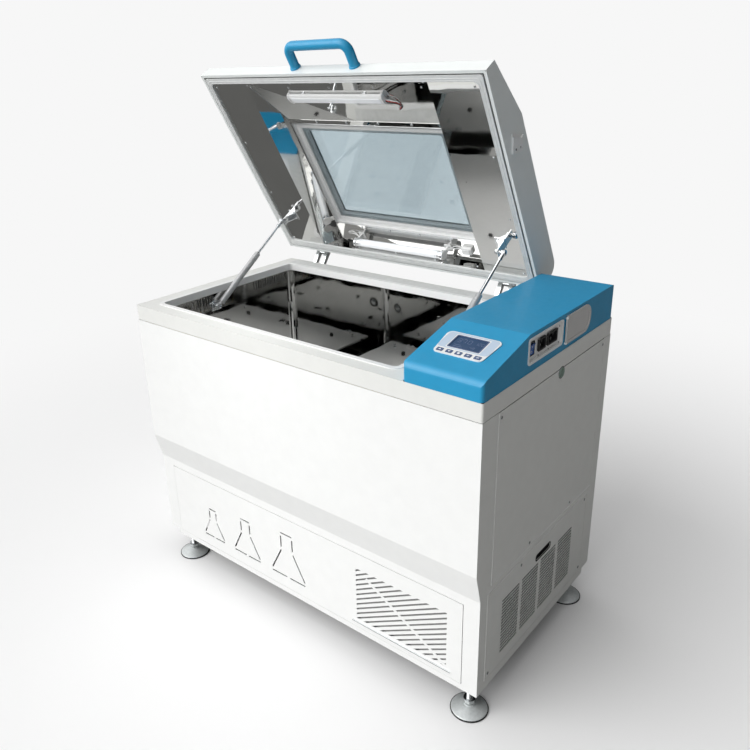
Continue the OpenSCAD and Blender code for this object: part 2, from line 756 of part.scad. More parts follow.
handle_x = 480;
handle_reach = 64;
handle_half = 105;
handle_bend = 24;
handle_r = 13;
handle_h = 32;
function turned(v) = [-v.y, v.x];
// Point beside corner i of an open path, w to its left on the mitre line
function beside(path, i, w) =
  let (d = i == 0 ? unit(path[1] - path[0]) : unit(path[i] - path[i - 1]))
  let (e = i == len(path) - 1 ? d : unit(path[i + 1] - path[i]))
  let (n = unit(turned(d + e)))
  path[i] + n * w / (n * turned(d));

// Bar of 24-sided section along an open [x, y] path, with mitred joints
module mitred_bar(path, r) for (i = [0:len(path) - 2]) {
  d = unit(path[i + 1] - path[i]);
  a = path[i] - d * r;
  intersection() {
    translate([a.x, a.y, 0]) rotate([0, 0, atan2(d.y, d.x)]) rotate([0, 90, 0])
      linear_extrude(norm(path[i + 1] - path[i]) + 2 * r)
        polygon([for (k = [0:23]) r * [cos(15 * k + 7.5), sin(15 * k + 7.5)]]);
    translate([0, 0, -r - 1]) linear_extrude(2 * r + 2)
      polygon([beside(path, i, r + 1), beside(path, i + 1, r + 1),
               beside(path, i + 1, -r - 1), beside(path, i, -r - 1)]);
  }
}
module lid_handle() {
  u = handle_half - handle_bend;
  v = handle_bend - handle_reach;
  path = concat([[-handle_half, -0.2]], arc_points([-u, v], handle_bend, 180, 270, 3),
                arc_points([u, v], handle_bend, 270, 360, 3), [[handle_half, -0.2]]);
  color("deepskyblue") on_lid() translate([handle_x, 0, handle_h]) mitred_bar(path, handle_r);
}

led_x = 481;
well_slope = atan2(well_h - liner_h, 196 - seal_w);
module led_batten() {
  color("white") on_lid() translate([led_x, 88, liner_h + (88 - seal_w) * tan(well_slope)])
    rotate([well_slope, 0, 0])
      along_x(rounded([[-17, -1, 1], [-17, -9, 4], [-9, -13, 4], [9, -13, 4], [17, -9, 4], [17, -1, 1]], 4),
              -167, 167);
}

lamp_x = [311, 643];
lamp_y = 649;
lamp_h = 38;
module lamp_holders() {
  color("white") on_lid() for (x = [lamp_x[0] - 11, lamp_x[1] + 1]) {
    bar_x(15, x, x + 10, lamp_y, lamp_h);
    block([x + 2, lamp_y - 7, lamp_h + 10], [x + 8, lamp_y + 7, well_h - 0.2]);
  }
}
module lamp_tube() {
  color("white") on_lid() {
    bar_x(13, lamp_x[0] + 10, lamp_x[1] - 10, lamp_y, lamp_h);
    for (x = [lamp_x[0], lamp_x[1] - 10 - eps]) bar_x(12.4, x, x + 10 + eps, lamp_y, lamp_h);
  }
}

module lid_switch_tab() {
  color("white") on_lid() difference() {
    along_x([[196, 44], [226, 84], [262, 66], [240, 22], [232, 26]], lid_w + 0.1, lid_w + 5.5);
    along_x([[190, 40], [222, 90], [230, 76], [204, 40]], lid_w + 2, lid_w + 7);
  }
}

// --- platform and its orbital drive ---
tray_x = chamber_cx + orbit_r;
carriage_z = 414;
tab_x = 285;

module clamp_slots() {
  for (x = [-260, 0, 260], y = [-140, 80]) translate([x, y]) square(12, center = true);
  for (p = [[54, -160], [285, -30], [-200, 0]]) translate(p) square([30, 13], center = true);
}
module platform() {
  color("gainsboro") origin() translate([tray_x, chamber_cy, 0]) {
    difference() {
      along_z(rrect(-chamber_w / 2 + platform_gap, -chamber_d / 2 + platform_gap,
                    chamber_w / 2 - platform_gap, chamber_d / 2 - platform_gap, 8),
              platform_z - 4, platform_z);
      for (x = [-0.5, 0.5], y = [-0.5, 0.5])
        bar_z(clamp_hole_r, platform_z - 5, platform_z + 1, x * clamp_dx, y * clamp_dy);
      translate([0, 0, platform_z - 5]) linear_extrude(6) clamp_slots();
    }
    for (x = [-1, 1] * tab_x, y = [-1, 1] * (chamber_d / 2 - platform_gap - 10))
      block([x - 15, y - 8, platform_z - eps], [x + 15, y + 8, platform_z + 7]);
  }
}

module carriage() {
  color("slategray") origin() difference() {
    union() {
      translate([tray_x, chamber_cy, 0]) {
        block([-320, -170, carriage_z], [320, 170, carriage_z + 10]);
        for (y = [-160, 135]) block([-320, y, carriage_z + 10 - eps], [320, y + 25, platform_z - 4.05]);
        bar_z(24, carriage_z - 8, platform_z - 8, 0, 0);
        for (s = [-1, 1]) bar_z(17, carriage_z - 8, platform_z - 10, s * idler_dx, idler_dy);
      }
    }
    bar_z(10 + fit_gap, carriage_z - 9, platform_z, tray_x, chamber_cy);
    for (s = [-1, 1])
      bar_z(7 + fit_gap, carriage_z - 9, platform_z, idler_pos(s).x + orbit_r, idler_pos(s).y);
  }
}

belt_z = [262, 290];
drive_r = 75;
motor_r = 30;
module belt_pulley(r, x, y) {
  bar_z(r, belt_z[0], belt_z[1], x, y);
  for (z = [belt_z[0] - 2, belt_z[1]]) bar_z(r + 3, z - eps, z + 2 + eps, x, y);
}

module crank() {
  color("gray") origin() {
    difference() {
      belt_pulley(drive_r, chamber_cx, chamber_cy);
      for (a = [0:60:300])
        bar_z(14, belt_z[0] - 5, belt_z[1] + 5, chamber_cx + 45 * cos(a), chamber_cy + 45 * sin(a));
    }
    bar_z(shaft_r, belt_z[0] - 10, floor_z + 6, chamber_cx, chamber_cy);
    bar_z(42, floor_z + 5, floor_z + 16, chamber_cx, chamber_cy);
    block([chamber_cx - 95, chamber_cy - 30, floor_z + 5], [chamber_cx - 30, chamber_cy + 30, floor_z + 16]);
    bar_z(10, floor_z + 15, platform_z - 12, tray_x, chamber_cy);
  }
}

module idler(s) {
  color("gray") origin() {
    bar_z(idler_r, 312, floor_z + 6, idler_pos(s).x, idler_pos(s).y);
    bar_z(28, floor_z + 5, floor_z + 14, idler_pos(s).x, idler_pos(s).y);
    bar_z(7, floor_z + 13, platform_z - 14, idler_pos(s).x + orbit_r, idler_pos(s).y);
  }
}
module idler_left() { idler(-1); }
module idler_right() { idler(1); }

plate_z = 330;
module drive_plate() {
  color("dimgray") origin() difference() {
    union() {
      translate([chamber_cx, chamber_cy, 0]) {
        block([-300, -180, plate_z], [300, 180, plate_z + 12]);
        for (x = [-300, 280], y = [-180, 160])
          block([x, y, frame_z + 25.05], [x + 20, y + 20, plate_z + eps]);
        bar_z(28, plate_z - 30, plate_z + 22, 0, 0);
        for (s = [-1, 1]) bar_z(20, plate_z - 14, plate_z + 22, s * idler_dx, idler_dy);
      }
    }
    drive_holes(fit_gap, plate_z - 40, plate_z + 30);
  }
}

motor_x = chamber_cx - 247;
module drive_motor() {
  color("steelblue") origin() translate([motor_x, chamber_cy, 0]) {
    difference() {
      union() {
        bar_z(54, 140, 240, 0, 0);
        bar_z(20, 239, 250, 0, 0);
        block([-64, -64, 232], [64, 64, 240]);
        block([48, -25, 160], [82, 25, 215]);
      }
      bar_z(7 + fit_gap, 225, 260, 0, 0);
    }
    for (x = [-56, 56], y = [-56, 56]) bar_z(6, 239, plate_z - eps, x, y);
  }
}
module motor_pulley() {
  color("silver") origin() {
    belt_pulley(motor_r, motor_x, chamber_cy);
    bar_z(7, 227, 296, motor_x, chamber_cy);
  }
}

// Outline of a belt round two pulleys a distance apart along X
function belt_line(grow) =
  let (a = acos((drive_r - motor_r) / (chamber_cx - motor_x)))
  concat(arc_points([chamber_cx, chamber_cy], drive_r + grow, a - 180, 180 - a, 40),
         arc_points([motor_x, chamber_cy], motor_r + grow, 180 - a, 180 + a, 24));
module drive_belt() {
  color("black") origin() difference() {
    along_z(belt_line(4), belt_z[0] + 2, belt_z[1] - 2);
    along_z(belt_line(0.4), belt_z[0], belt_z[1]);
  }
}

// --- cooling and air circulation ---
fan_x = 965;
fan_z = 208;
module compressor() {
  color("black") origin() translate([1060, 430, 0]) {
    rotate_extrude() polygon(rounded([[0, 140, 0], [78, 140, 20], [78, 270, 40], [0, 290, 0]], 6));
    for (a = [45:90:315]) rotate(a) block([50, -12, tray_z + 0.05], [105, 12, 145]);
  }
}
module heat_exchangers() {
  color("silver") origin() {
    difference() {
      block([845, 140, tray_z + 0.05], [1085, 185, 300]);
      for (i = [1:22]) block([845 + i * 10.4, 139, 140], [847 + i * 10.4, 160, 294]);
    }
    translate([fan_x, 112, fan_z]) rotate([-90, 0, 0]) cylinder(r = 24, h = 28 + eps);
    difference() {
      block([978, 160, 470], [1012, 520, 750]);
      for (i = [1:26]) block([977, 160 + i * 13.2, 478], [995, 162 + i * 13.2, 742]);
    }
  }
}
module condenser_fan() {
  color("dimgray") origin() translate([fan_x, 82, fan_z]) rotate([-90, 0, 0]) {
    cylinder(r = 26, h = 28);
    for (a = [0:72:288]) rotate(a) translate([20, 0, 14]) rotate([28, 0, 0])
      block([0, -22, -1.2], [62, 22, 1.2]);
  }
}

blower_y = 333;
blower_zc = 700;
module blower_housing() {
  color("gray") origin() difference() {
    union() {
      block([1024, blower_y - 90, blower_zc - 90], [1080, blower_y + 90, blower_zc + 90]);
      bar_x(36, 1080 - eps, 1140, blower_y, blower_zc);
    }
    block([1027, blower_y - 87, blower_zc - 87], [1077, blower_y + 87, blower_zc + 87]);
    bar_x(52, 1020, 1030, blower_y, blower_zc);
    bar_x(5 + fit_gap, 1070, 1110, blower_y, blower_zc);
  }
}
module blower_wheel() {
  color("lightgray") origin() translate([1032, blower_y, blower_zc]) {
    bar_x(72, 37, 40, 0, 0);
    bar_x(5, 20, 70, 0, 0);
    bar_x(16, 24, 37 + eps, 0, 0);
    difference() {
      bar_x(72, 0, 3, 0, 0);
      bar_x(56, -1, 4, 0, 0);
    }
    for (a = [0:22.5:337.5]) rotate([a, 0, 0]) block([3 - eps, 57, -1], [37 + eps, 70, 1]);
  }
}

// --- levelling feet ---
module levelling_feet() {
  color("silver") origin() for (x = foot_x, y = foot_y) translate([x, y, 0]) {
    rotate_extrude() polygon([[0, 0], [foot_r, 0], [foot_r, 3], [foot_r - 3, 5.5],
                              [19, 16], [14, 17], [14, 21], [0, 21]]);
    bar_z(foot_screw_r, 20, side_skirt_z + 44, 0, 0);
    translate([0, 0, 24]) cylinder(r = 14, h = 11, $fn = 6);
    translate([0, 0, frame_z - 13]) cylinder(r = 14, h = 11, $fn = 6);
  }
}

base_frame();
front_panel();
service_panel();
left_panel();
right_panel();
access_cover();
vent_cover();
rear_panel();
deck();
rim_collar();
chamber_liner();
insulation();
console_housing();
display_bezel();
lcd_screen();
electronics();
key_1();
key_2();
key_3();
key_4();
key_5();
socket_frame();
socket_inserts();
rocker_switch();
socket_cover();
cover_latch();
panel_screws();
strut_anchors();
hinge_brackets();
drive_plate();
drive_motor();
drive_belt();
compressor();
heat_exchangers();
blower_housing();
lid_shell();
lid_liner();
lid_gasket();
window_panes();
window_frame();
lid_handle();
led_batten();
lamp_holders();
lamp_tube();
strut_studs();
hinge_leaves();
lid_switch_tab();
strut_tube_left();
strut_rod_left();
strut_tube_right();
strut_rod_right();
platform();
carriage();
crank();
idler_left();
idler_right();
motor_pulley();
blower_wheel();
condenser_fan();
levelling_feet();
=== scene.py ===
import json
import math
import bmesh
import bpy
from mathutils import Matrix, Vector


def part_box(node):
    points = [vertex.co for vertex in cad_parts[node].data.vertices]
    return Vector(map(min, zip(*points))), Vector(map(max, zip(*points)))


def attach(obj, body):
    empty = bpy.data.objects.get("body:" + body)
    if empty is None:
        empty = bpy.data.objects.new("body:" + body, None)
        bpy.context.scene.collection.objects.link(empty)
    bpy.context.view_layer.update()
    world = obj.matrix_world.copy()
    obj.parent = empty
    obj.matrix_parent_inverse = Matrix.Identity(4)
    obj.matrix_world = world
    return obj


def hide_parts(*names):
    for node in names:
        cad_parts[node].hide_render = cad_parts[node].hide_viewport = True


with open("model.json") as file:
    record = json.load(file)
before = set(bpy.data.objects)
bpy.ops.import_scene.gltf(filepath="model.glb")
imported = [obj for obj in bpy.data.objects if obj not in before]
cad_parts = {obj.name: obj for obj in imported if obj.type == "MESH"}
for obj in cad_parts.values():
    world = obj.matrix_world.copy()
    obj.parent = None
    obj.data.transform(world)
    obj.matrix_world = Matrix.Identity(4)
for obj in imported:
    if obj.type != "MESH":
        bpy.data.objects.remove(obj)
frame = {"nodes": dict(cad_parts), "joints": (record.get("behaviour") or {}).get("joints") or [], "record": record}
nodes = frame["nodes"]
record = frame["record"]
joints = {j["name"]: j for j in frame["joints"]}
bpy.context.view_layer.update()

# ------------ where things are
MM = 0.001
deck_low, deck_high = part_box("deck")
deck_z = deck_high.z / MM
# millimetres from the floor under the cabinet's front left corner
CAB = Matrix.Translation((deck_low.x, deck_low.y, 0)) @ Matrix.Scale(MM, 4)


def turned(joint, degrees, matrix):
    """matrix after its body has turned about a joint."""
    at, axis = Vector(joint["pos_m"]), Vector(joint["axis"])
    turn = Matrix.Rotation(math.radians(degrees), 4, axis)
    return Matrix.Translation(at) @ turn @ Matrix.Translation(-at) @ matrix


# the same on the deck, turned with the lid: its pieces are drawn closed and stand open
LID = turned(joints["lid_hinge"], -joints["lid_hinge"]["range_deg"][0],
             CAB @ Matrix.Translation((0, 0, deck_z)))

# where a piece is drawn and what it rides on
ON_CABINET = (CAB, "cabinet")
ON_LID = (LID, "lid")


def cab_box(node):
    """A node's box in cabinet millimetres."""
    lo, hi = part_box(node)
    inv = CAB.inverted()
    return inv @ lo, inv @ hi


QUARTER = math.pi / 2
HERE = Matrix.Identity(4)
FACINGS = {"+z": HERE, "-z": Matrix.Rotation(math.pi, 4, "X"),
           "+x": Matrix.Rotation(QUARTER, 4, "Y"), "-x": Matrix.Rotation(-QUARTER, 4, "Y"),
           "-y": Matrix.Rotation(QUARTER, 4, "X"), "+y": Matrix.Rotation(-QUARTER, 4, "X")}


def place(x, y, z, facing="+z", spin=0):
    """Local frame whose Z points the way facing says."""
    return Matrix.Translation((x, y, z)) @ FACINGS[facing] @ Matrix.Rotation(math.radians(spin), 4, "Z")


def on_yz(x=0, y=0, z=0, way=1):
    """For an outline drawn in Y and Z and raised along X."""
    return Matrix(((0, 0, way, x), (1, 0, 0, y), (0, 1, 0, z), (0, 0, 0, 1)))


def on_xz(x=0, y=0, z=0, way=1):
    """For an outline drawn in X and Z and raised along Y."""
    return Matrix(((way, 0, 0, x), (0, 0, 1, y), (0, 1, 0, z), (0, 0, 0, 1)))


# ------------ mesh building
def grid_faces(rows, cols):
    """Faces between rows of points, each row closed on itself."""
    faces = []
    for i in range(rows - 1):
        for j in range(cols):
            k = (j + 1) % cols
            faces.append((i * cols + j, i * cols + k, (i + 1) * cols + k, (i + 1) * cols + j))
    return faces


def spun(profile, steps):
    """Points of a (radius, z) profile turned about Z."""
    angles = [2 * math.pi * j / steps for j in range(steps)]
    return [(r * math.cos(a), r * math.sin(a), z) for r, z in profile for a in angles]


def lathe(profile, steps=32):
    """Solid of revolution about Z from [(radius, z), ...], closed at both ends."""
    faces = grid_faces(len(profile), steps)
    faces.append(tuple(reversed(range(steps))))
    faces.append(tuple((len(profile) - 1) * steps + j for j in range(steps)))
    return spun(profile, steps), faces


def ring(profile, steps=48):
    """Ring of revolution about Z from a closed [(radius, z), ...] section."""
    return spun(profile + profile[:1], steps), grid_faces(len(profile) + 1, steps)


def prism(outline, z0, z1):
    n = len(outline)
    verts = [(x, y, z) for z in (z0, z1) for x, y in outline]
    faces = grid_faces(2, n)
    faces += [tuple(reversed(range(n))), tuple(range(n, 2 * n))]
    return verts, faces


def block(a, b):
    return prism([(a[0], a[1]), (b[0], a[1]), (b[0], b[1]), (a[0], b[1])], a[2], b[2])


def arc(x, y, r, degrees):
    angles = [math.radians(d) for d in degrees]
    return [(x + r * math.cos(a), y + r * math.sin(a)) for a in angles]


def round_rect(x0, y0, x1, y1, r, n=6):
    corners = ((x1 - r, y0 + r, -90), (x1 - r, y1 - r, 0), (x0 + r, y1 - r, 90), (x0 + r, y0 + r, 180))
    return [p for x, y, start in corners for p in arc(x, y, r, [start + 90 * i / n for i in range(n + 1)])]


def round_rect_at(x, y, width, height, r, n=6):
    """Rounded rectangle about its centre."""
    return round_rect(x - width / 2, y - height / 2, x + width / 2, y + height / 2, r, n)


def grown(rect, by):
    """(x0, y0, x1, y1) with every side moved out."""
    x0, y0, x1, y1 = rect
    return x0 - by, y0 - by, x1 + by, y1 + by


def smooth_path(points, steps=8):
    """Catmull-Rom curve through the points."""
    pts = [Vector(p) for p in points]
    ends = [pts[0] * 2 - pts[1]] + pts + [pts[-1] * 2 - pts[-2]]
    out = []
    for a, b, c, d in zip(ends, ends[1:], ends[2:], ends[3:]):
        for i in range(steps):
            t = i / steps
            out.append(0.5 * ((2 * b) + (c - a) * t + (2 * a - 5 * b + 4 * c - d) * t * t
                              + (3 * b - a - 3 * c + d) * t * t * t))
    out.append(pts[-1])
    return out


def tube(points, radius, sides=10, closed=False):
    """Round bar along a path."""
    pts = [Vector(p) for p in points]
    verts = []
    up = Vector((0, 0, 1))
    count = len(pts)
    for i, p in enumerate(pts):
        before = pts[(i - 1) % count] if closed or i else p
        after = pts[(i + 1) % count] if closed or i < count - 1 else p
        along = (after - before).normalized()
        if abs(along.dot(up)) > 0.97:
            up = Vector((0, 1, 0)) if abs(along.y) < 0.9 else Vector((1, 0, 0))
        side = along.cross(up).normalized()
        up = side.cross(along).normalized()
        for j in range(sides):
            a = 2 * math.pi * j / sides
            verts.append(tuple(p + (side * math.cos(a) + up * math.sin(a)) * radius))
    if closed:
        verts += verts[:sides]
        return verts, grid_faces(count + 1, sides)
    faces = grid_faces(count, sides)
    faces += [tuple(reversed(range(sides))), tuple((count - 1) * sides + j for j in range(sides))]
    return verts, faces


def band(outer, inner, z0, z1):
    """Flat frame between two outlines with the same number of points."""
    n = len(outer)
    verts = ([(x, y, z0) for x, y in outer] + [(x, y, z1) for x, y in outer]
             + [(x, y, z1) for x, y in inner] + [(x, y, z0) for x, y in inner])
    return verts + verts[:n], grid_faces(5, n)


def rim(rect, r, inset, inner_r, z0, z1, n=6):
    """Frame of even width inside a rounded rectangle."""
    return band(round_rect(*rect, r, n), round_rect(*grown(rect, -inset), inner_r, n), z0, z1)


def bead(outline, z, radius, sides=8):
    """Round bead along a closed outline."""
    return tube([(x, y, z) for x, y in outline], radius, sides, True)


def cable(points, radius, sides=10):
    """Round cable or pipe that bends smoothly through the points."""
    return tube(smooth_path(points), radius, sides)


def round_edges(ob, width, degrees):
    """Bevel the edges that are sharper than this, width in millimetres."""
    edge = ob.modifiers.new("edges", "BEVEL")
    edge.width, edge.segments, edge.limit_method = width * MM, 2, "ANGLE"
    edge.angle_limit = math.radians(degrees)


def piece(name, parts, slot, seat=ON_CABINET, material=None, bevel=0.0):
    """One object from shapes or (shape, placement) pairs in millimetres.

    seat is where it is drawn and the body it rides on; its slot's material is the default.
    """
    base, body = seat
    bm = bmesh.new()
    for part in parts:
        (verts, faces), at = part if isinstance(part[1], Matrix) else (part, HERE)
        made = [bm.verts.new(base @ at @ Vector(v)) for v in verts]
        for f in faces:
            try:
                bm.faces.new([made[i] for i in f])
            except ValueError:  # the same face twice
                continue
    bmesh.ops.remove_doubles(bm, verts=bm.verts, dist=1e-6)
    bmesh.ops.recalc_face_normals(bm, faces=bm.faces)
    mesh = bpy.data.meshes.new(name)
    bm.to_mesh(mesh)
    bm.free()
    for p in mesh.polygons:
        p.use_smooth = True
    mesh.materials.append(material or by_slot[slot])
    ob = bpy.data.objects.new(name, mesh)
    bpy.context.scene.collection.objects.link(ob)
    if bevel:
        round_edges(ob, bevel, 40)
    soft_edges(ob)
    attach(ob, body)
    return ob


def soft_edges(ob, degrees=35):
    """Shade smooth but keep the edges that are sharper than this."""
    bm = bmesh.new()
    bm.from_mesh(ob.data)
    for e in bm.edges:
        e.smooth = len(e.link_faces) == 2 and e.calc_face_angle(0) < math.radians(degrees)
    bm.to_mesh(ob.data)
    bm.free()


# ------------ materials
def feed(tree, node, sources):
    """Set a node's inputs, each to a value or to the output that feeds it."""
    for name, source in sources.items():
        if isinstance(source, bpy.types.NodeSocket):
            tree.links.new(source, node.inputs[name])
        else:
            node.inputs[name].default_value = source


def shader(tree, kind, sources, **settings):
    """New node in a material or world."""
    node = tree.nodes.new(kind)
    for name, value in settings.items():
        setattr(node, name, value)
    feed(tree, node, sources)
    return node


def mixed(tree, a, b, factor):
    """Colour a where factor is 0 and b where it is 1."""
    mix = shader(tree, "ShaderNodeMix", {"A": a, "B": b, "Factor": factor}, data_type="RGBA")
    return mix.outputs["Result"]


def look(name, colour, rough=0.4, metal=0.0, coat=0.0, tint=0.03, tint_scale=30.0, rough_vary=0.08,
         bump=0.02, bump_scale=900.0, stretch=(1, 1, 1), scratches=0.0, alpha=1.0, transmission=0.0,
         emission=0.0, smudge=0.0, relief_depth=0.0006):
    """Principled surface with its own small-scale colour, roughness and relief."""
    m = bpy.data.materials.new(name)
    m.use_nodes = True
    tree = m.node_tree
    where = shader(tree, "ShaderNodeTexCoord", {}).outputs["Object"]
    scaled = shader(tree, "ShaderNodeMapping", {"Vector": where, "Scale": stretch}).outputs["Vector"]

    def noise(scale, detail=4.0, source=scaled):
        sources = {"Vector": source, "Scale": scale, "Detail": detail}
        return shader(tree, "ShaderNodeTexNoise", sources).outputs["Fac"]

    def spread(value, low, high, start=0.3, end=0.7):
        sources = {"Value": value, "From Min": start, "From Max": end, "To Min": low, "To Max": high}
        return shader(tree, "ShaderNodeMapRange", sources).outputs["Result"]

    darker, lighter = [(*[min(1, c * k) for c in colour], 1) for k in (1 - tint, 1 + tint)]
    gloss = spread(noise(tint_scale * 2.3), rough * (1 - rough_vary), rough * (1 + rough_vary))
    if smudge:
        patches = spread(noise(9.0, 6.0, where), 0, smudge, 0.52, 0.8)
        gloss = shader(tree, "ShaderNodeMath", {0: gloss, 1: patches}, operation="ADD").outputs["Value"]
    height = noise(bump_scale, 2.0)
    if scratches:
        lines = shader(tree, "ShaderNodeTexWave",
                       {"Vector": where, "Scale": 55.0, "Distortion": 9.0, "Detail": 3.0}).outputs["Fac"]
        height = shader(tree, "ShaderNodeMath", {0: lines, 1: scratches, 2: height},
                        operation="MULTIPLY_ADD").outputs["Value"]
    relief = shader(tree, "ShaderNodeBump", {"Strength": bump, "Distance": relief_depth, "Height": height})
    bsdf = tree.nodes["Principled BSDF"]
    feed(tree, bsdf, {"Base Color": mixed(tree, darker, lighter, spread(noise(tint_scale), 0, 1)),
                      "Roughness": gloss, "Normal": relief.outputs["Normal"], "Metallic": metal,
                      "Coat Weight": coat, "Coat Roughness": 0.12, "Alpha": alpha,
                      "Transmission Weight": transmission})
    if emission:
        feed(tree, bsdf, {"Emission Color": (*colour, 1), "Emission Strength": emission})
    return m


by_slot = {
    "white_paint": look("white powder coat", (0.84, 0.845, 0.835), 0.36, tint=0.012, bump=0.09,
                        bump_scale=650),
    # the right side's panels: the same white paint, made darker as painted shade on the side away from the light
    "grey_paint": look("white coat with painted side shade", (0.74, 0.745, 0.72), 0.40, tint=0.015, bump=0.09, bump_scale=650),
    "pale_lid_paint": look("pale lid coat", (0.78, 0.81, 0.80), 0.34, tint=0.012, bump=0.08,
                           bump_scale=600),
    "blue_plastic": look("blue moulded plastic", (0.014, 0.29, 0.53), 0.38, coat=0.12, tint=0.03,
                         bump=0.12, bump_scale=1400),
    "mirror_steel": look("polished stainless steel", (0.64, 0.64, 0.63), 0.03, 1.0, tint=0.03,
                         tint_scale=8, rough_vary=0.4, bump=0.6, bump_scale=4.5, relief_depth=0.0016,
                         smudge=0.05),
    "tray_steel": look("matt brushed platform steel", (0.84, 0.84, 0.83), 0.42, 0.05, tint=0.04, bump=0.06,
                       bump_scale=260, stretch=(1, 14, 14), smudge=0.12),
    "plated_steel": look("zinc-plated steel", (0.74, 0.76, 0.77), 0.22, 1.0, tint=0.08, tint_scale=140,
                         bump=0.05, scratches=0.1),
    "strut_grey": look("satin grey cylinder", (0.50, 0.505, 0.51), 0.32, 0.45, tint=0.04, bump=0.03),
    "chrome_rod": look("chromed rod", (0.75, 0.76, 0.78), 0.06, 1.0, tint=0.02, rough_vary=0.3, bump=0.01),
    "black_frame": look("black frame paint", (0.018, 0.018, 0.02), 0.45, tint=0.2, bump=0.15,
                        bump_scale=500),
    "cast_grey": look("machined cast iron", (0.22, 0.225, 0.23), 0.42, 0.9, tint=0.15, tint_scale=90,
                      bump=0.2, bump_scale=300),
    "white_plastic": look("white moulded plastic", (0.80, 0.805, 0.80), 0.38, tint=0.015, bump=0.06,
                          bump_scale=1200),
    "lamp_glass": look("white lamp glass", (0.88, 0.90, 0.92), 0.14, coat=0.5, tint=0.01, bump=0.01,
                       emission=0.15),
    "seal_grey": look("grey seal rubber", (0.66, 0.675, 0.67), 0.55, tint=0.05, tint_scale=50, bump=0.2,
                      bump_scale=500),
    "black_rubber": look("black rubber", (0.012, 0.012, 0.012), 0.6, tint=0.25, bump=0.3, bump_scale=400),
    "black_plastic": look("black moulded plastic", (0.015, 0.015, 0.017), 0.35, tint=0.2, bump=0.12,
                          bump_scale=900),
    "key_navy": look("slate blue key", (0.07, 0.11, 0.22), 0.4, tint=0.05, bump=0.08, bump_scale=1000),
    "screen_blue": look("unlit blue display", (0.035, 0.075, 0.16), 0.12, coat=0.8, tint=0.05, bump=0.01),
    "rocker_blue": look("blue translucent rocker", (0.012, 0.10, 0.40), 0.18, coat=0.5, tint=0.05,
                        bump=0.03),
    "clear_glass": look("float glass", (0.71, 0.78, 0.81), 0.02, tint=0.01, bump=0.004, bump_scale=6,
                        transmission=1.0),
    "smoked_cover": look("frosted hinged cover", (0.66, 0.65, 0.64), 0.24, coat=0.5, tint=0.02, bump=0.03,
                         alpha=0.9),
    "circuit_green": look("green circuit board", (0.01, 0.10, 0.04), 0.35, coat=0.3, tint=0.3,
                          tint_scale=400, bump=0.3),
    "foam": look("insulating foam", (0.62, 0.52, 0.25), 0.8, tint=0.12, tint_scale=70, bump=0.6,
                 bump_scale=180),
    "motor_blue": look("hammered motor paint", (0.05, 0.10, 0.16), 0.35, 0.4, tint=0.15, bump=0.4,
                       bump_scale=260),
    "aluminium_fins": look("aluminium fins", (0.72, 0.73, 0.74), 0.35, 1.0, tint=0.06, bump=0.06,
                           stretch=(1, 1, 12)),
    "fan_plastic": look("grey fan plastic", (0.045, 0.045, 0.05), 0.4, tint=0.15, bump=0.1),
}

# looks that share another material's slot
film = look("dull protective film", (0.66, 0.67, 0.66), 0.5, tint=0.06, tint_scale=60, bump=0.25,
            bump_scale=120)
# the feet: zinc plate made far less metallic than the other zinc, so its own grey colour is a painted reflection
# of the bright floor
foot_zinc_painted_reflection = look("zinc plate with painted floor reflection", (0.62, 0.65, 0.65), 0.34, 0.35, tint=0.08, tint_scale=140, bump=0.05,
                  scratches=0.1)
latch_green = look("grey-green latch", (0.24, 0.33, 0.28), 0.45, 0.3, tint=0.05, bump=0.05)
pale_film = look("pale blue panel film", (0.50, 0.60, 0.72), 0.3, coat=0.2, tint=0.02, bump=0.02)
copper = look("copper pipe", (0.72, 0.31, 0.17), 0.25, 1.0, tint=0.15, tint_scale=60, bump=0.05,
              smudge=0.15)
red_wire = look("red wire", (0.55, 0.02, 0.015), 0.4, tint=0.08, bump=0.04)
digit = look("unlit display segments", (0.075, 0.12, 0.22), 0.3, coat=0.4, tint=0.03, bump=0.01)
mark = look("white print", (0.85, 0.86, 0.88), 0.5, tint=0.02, bump=0.02)
mat_grey = look("grey dust filter", (0.24, 0.24, 0.235), 0.9, tint=0.35, tint_scale=500, bump=0.9,
                bump_scale=700)

sheet_metal = {"front_panel", "service_panel", "left_panel", "right_panel", "access_cover", "vent_cover",
               "rear_panel", "deck", "rim_collar", "lid_shell", "console_housing", "display_bezel",
               "socket_frame", "socket_cover", "window_frame", "led_batten", "lamp_holders",
               "lid_switch_tab"}
own_look = {"levelling_feet": foot_zinc_painted_reflection, "cover_latch": latch_green}
for entry in record["subparts"]:
    ob = nodes[entry["node"]]
    ob.data.materials.clear()
    ob.data.materials.append(own_look.get(entry["node"], by_slot[entry["material_slot"]]))
    if entry["node"] in sheet_metal:
        round_edges(ob, 0.4, 50)


# ------------ fasteners
def hexagon(r):
    return arc(0, 0, r, range(0, 360, 60))


def hex_bolt(r, h):
    """Hexagon head on its washer."""
    washer = 0.8
    return [prism(hexagon(r), washer, h), lathe([(r * 1.12, 0), (r * 1.12, washer), (r, washer)], 24)]


def dome_screw(r, h):
    """Domed head with a thin raised bar that reads as its slot."""
    dome = lathe([(r, 0), (r, h * 0.35), (r * 0.86, h * 0.75), (r * 0.5, h * 0.97), (r * 0.18, h)], 24)
    return [dome, block((-r * 0.5, -r * 0.1, h * 0.9), (r * 0.5, r * 0.1, h * 1.02))]


def at_all(shapes, places):
    return [(s, p) for p in places for s in shapes]


def fasteners(name, shapes, places, seat=ON_CABINET, slot="plated_steel"):
    """One object that holds the same shapes at every place."""
    return piece(name, at_all(shapes, places), slot, seat)


# ------------ lid
liner_hi = 74.0
lid_w, lid_d, lid_top = 985.0, 685.0, 107.0
win = (243.0, 243.0, 742.0, 572.0)


def around(rect, nx, ny):
    """Evenly spaced points round a rectangle."""
    x0, y0, x1, y1 = rect
    out = [(x0 + (x1 - x0) * i / nx, y) for i in range(nx + 1) for y in (y0, y1)]
    out += [(x, y0 + (y1 - y0) * i / ny) for i in range(1, ny) for x in (x0, x1)]
    return out


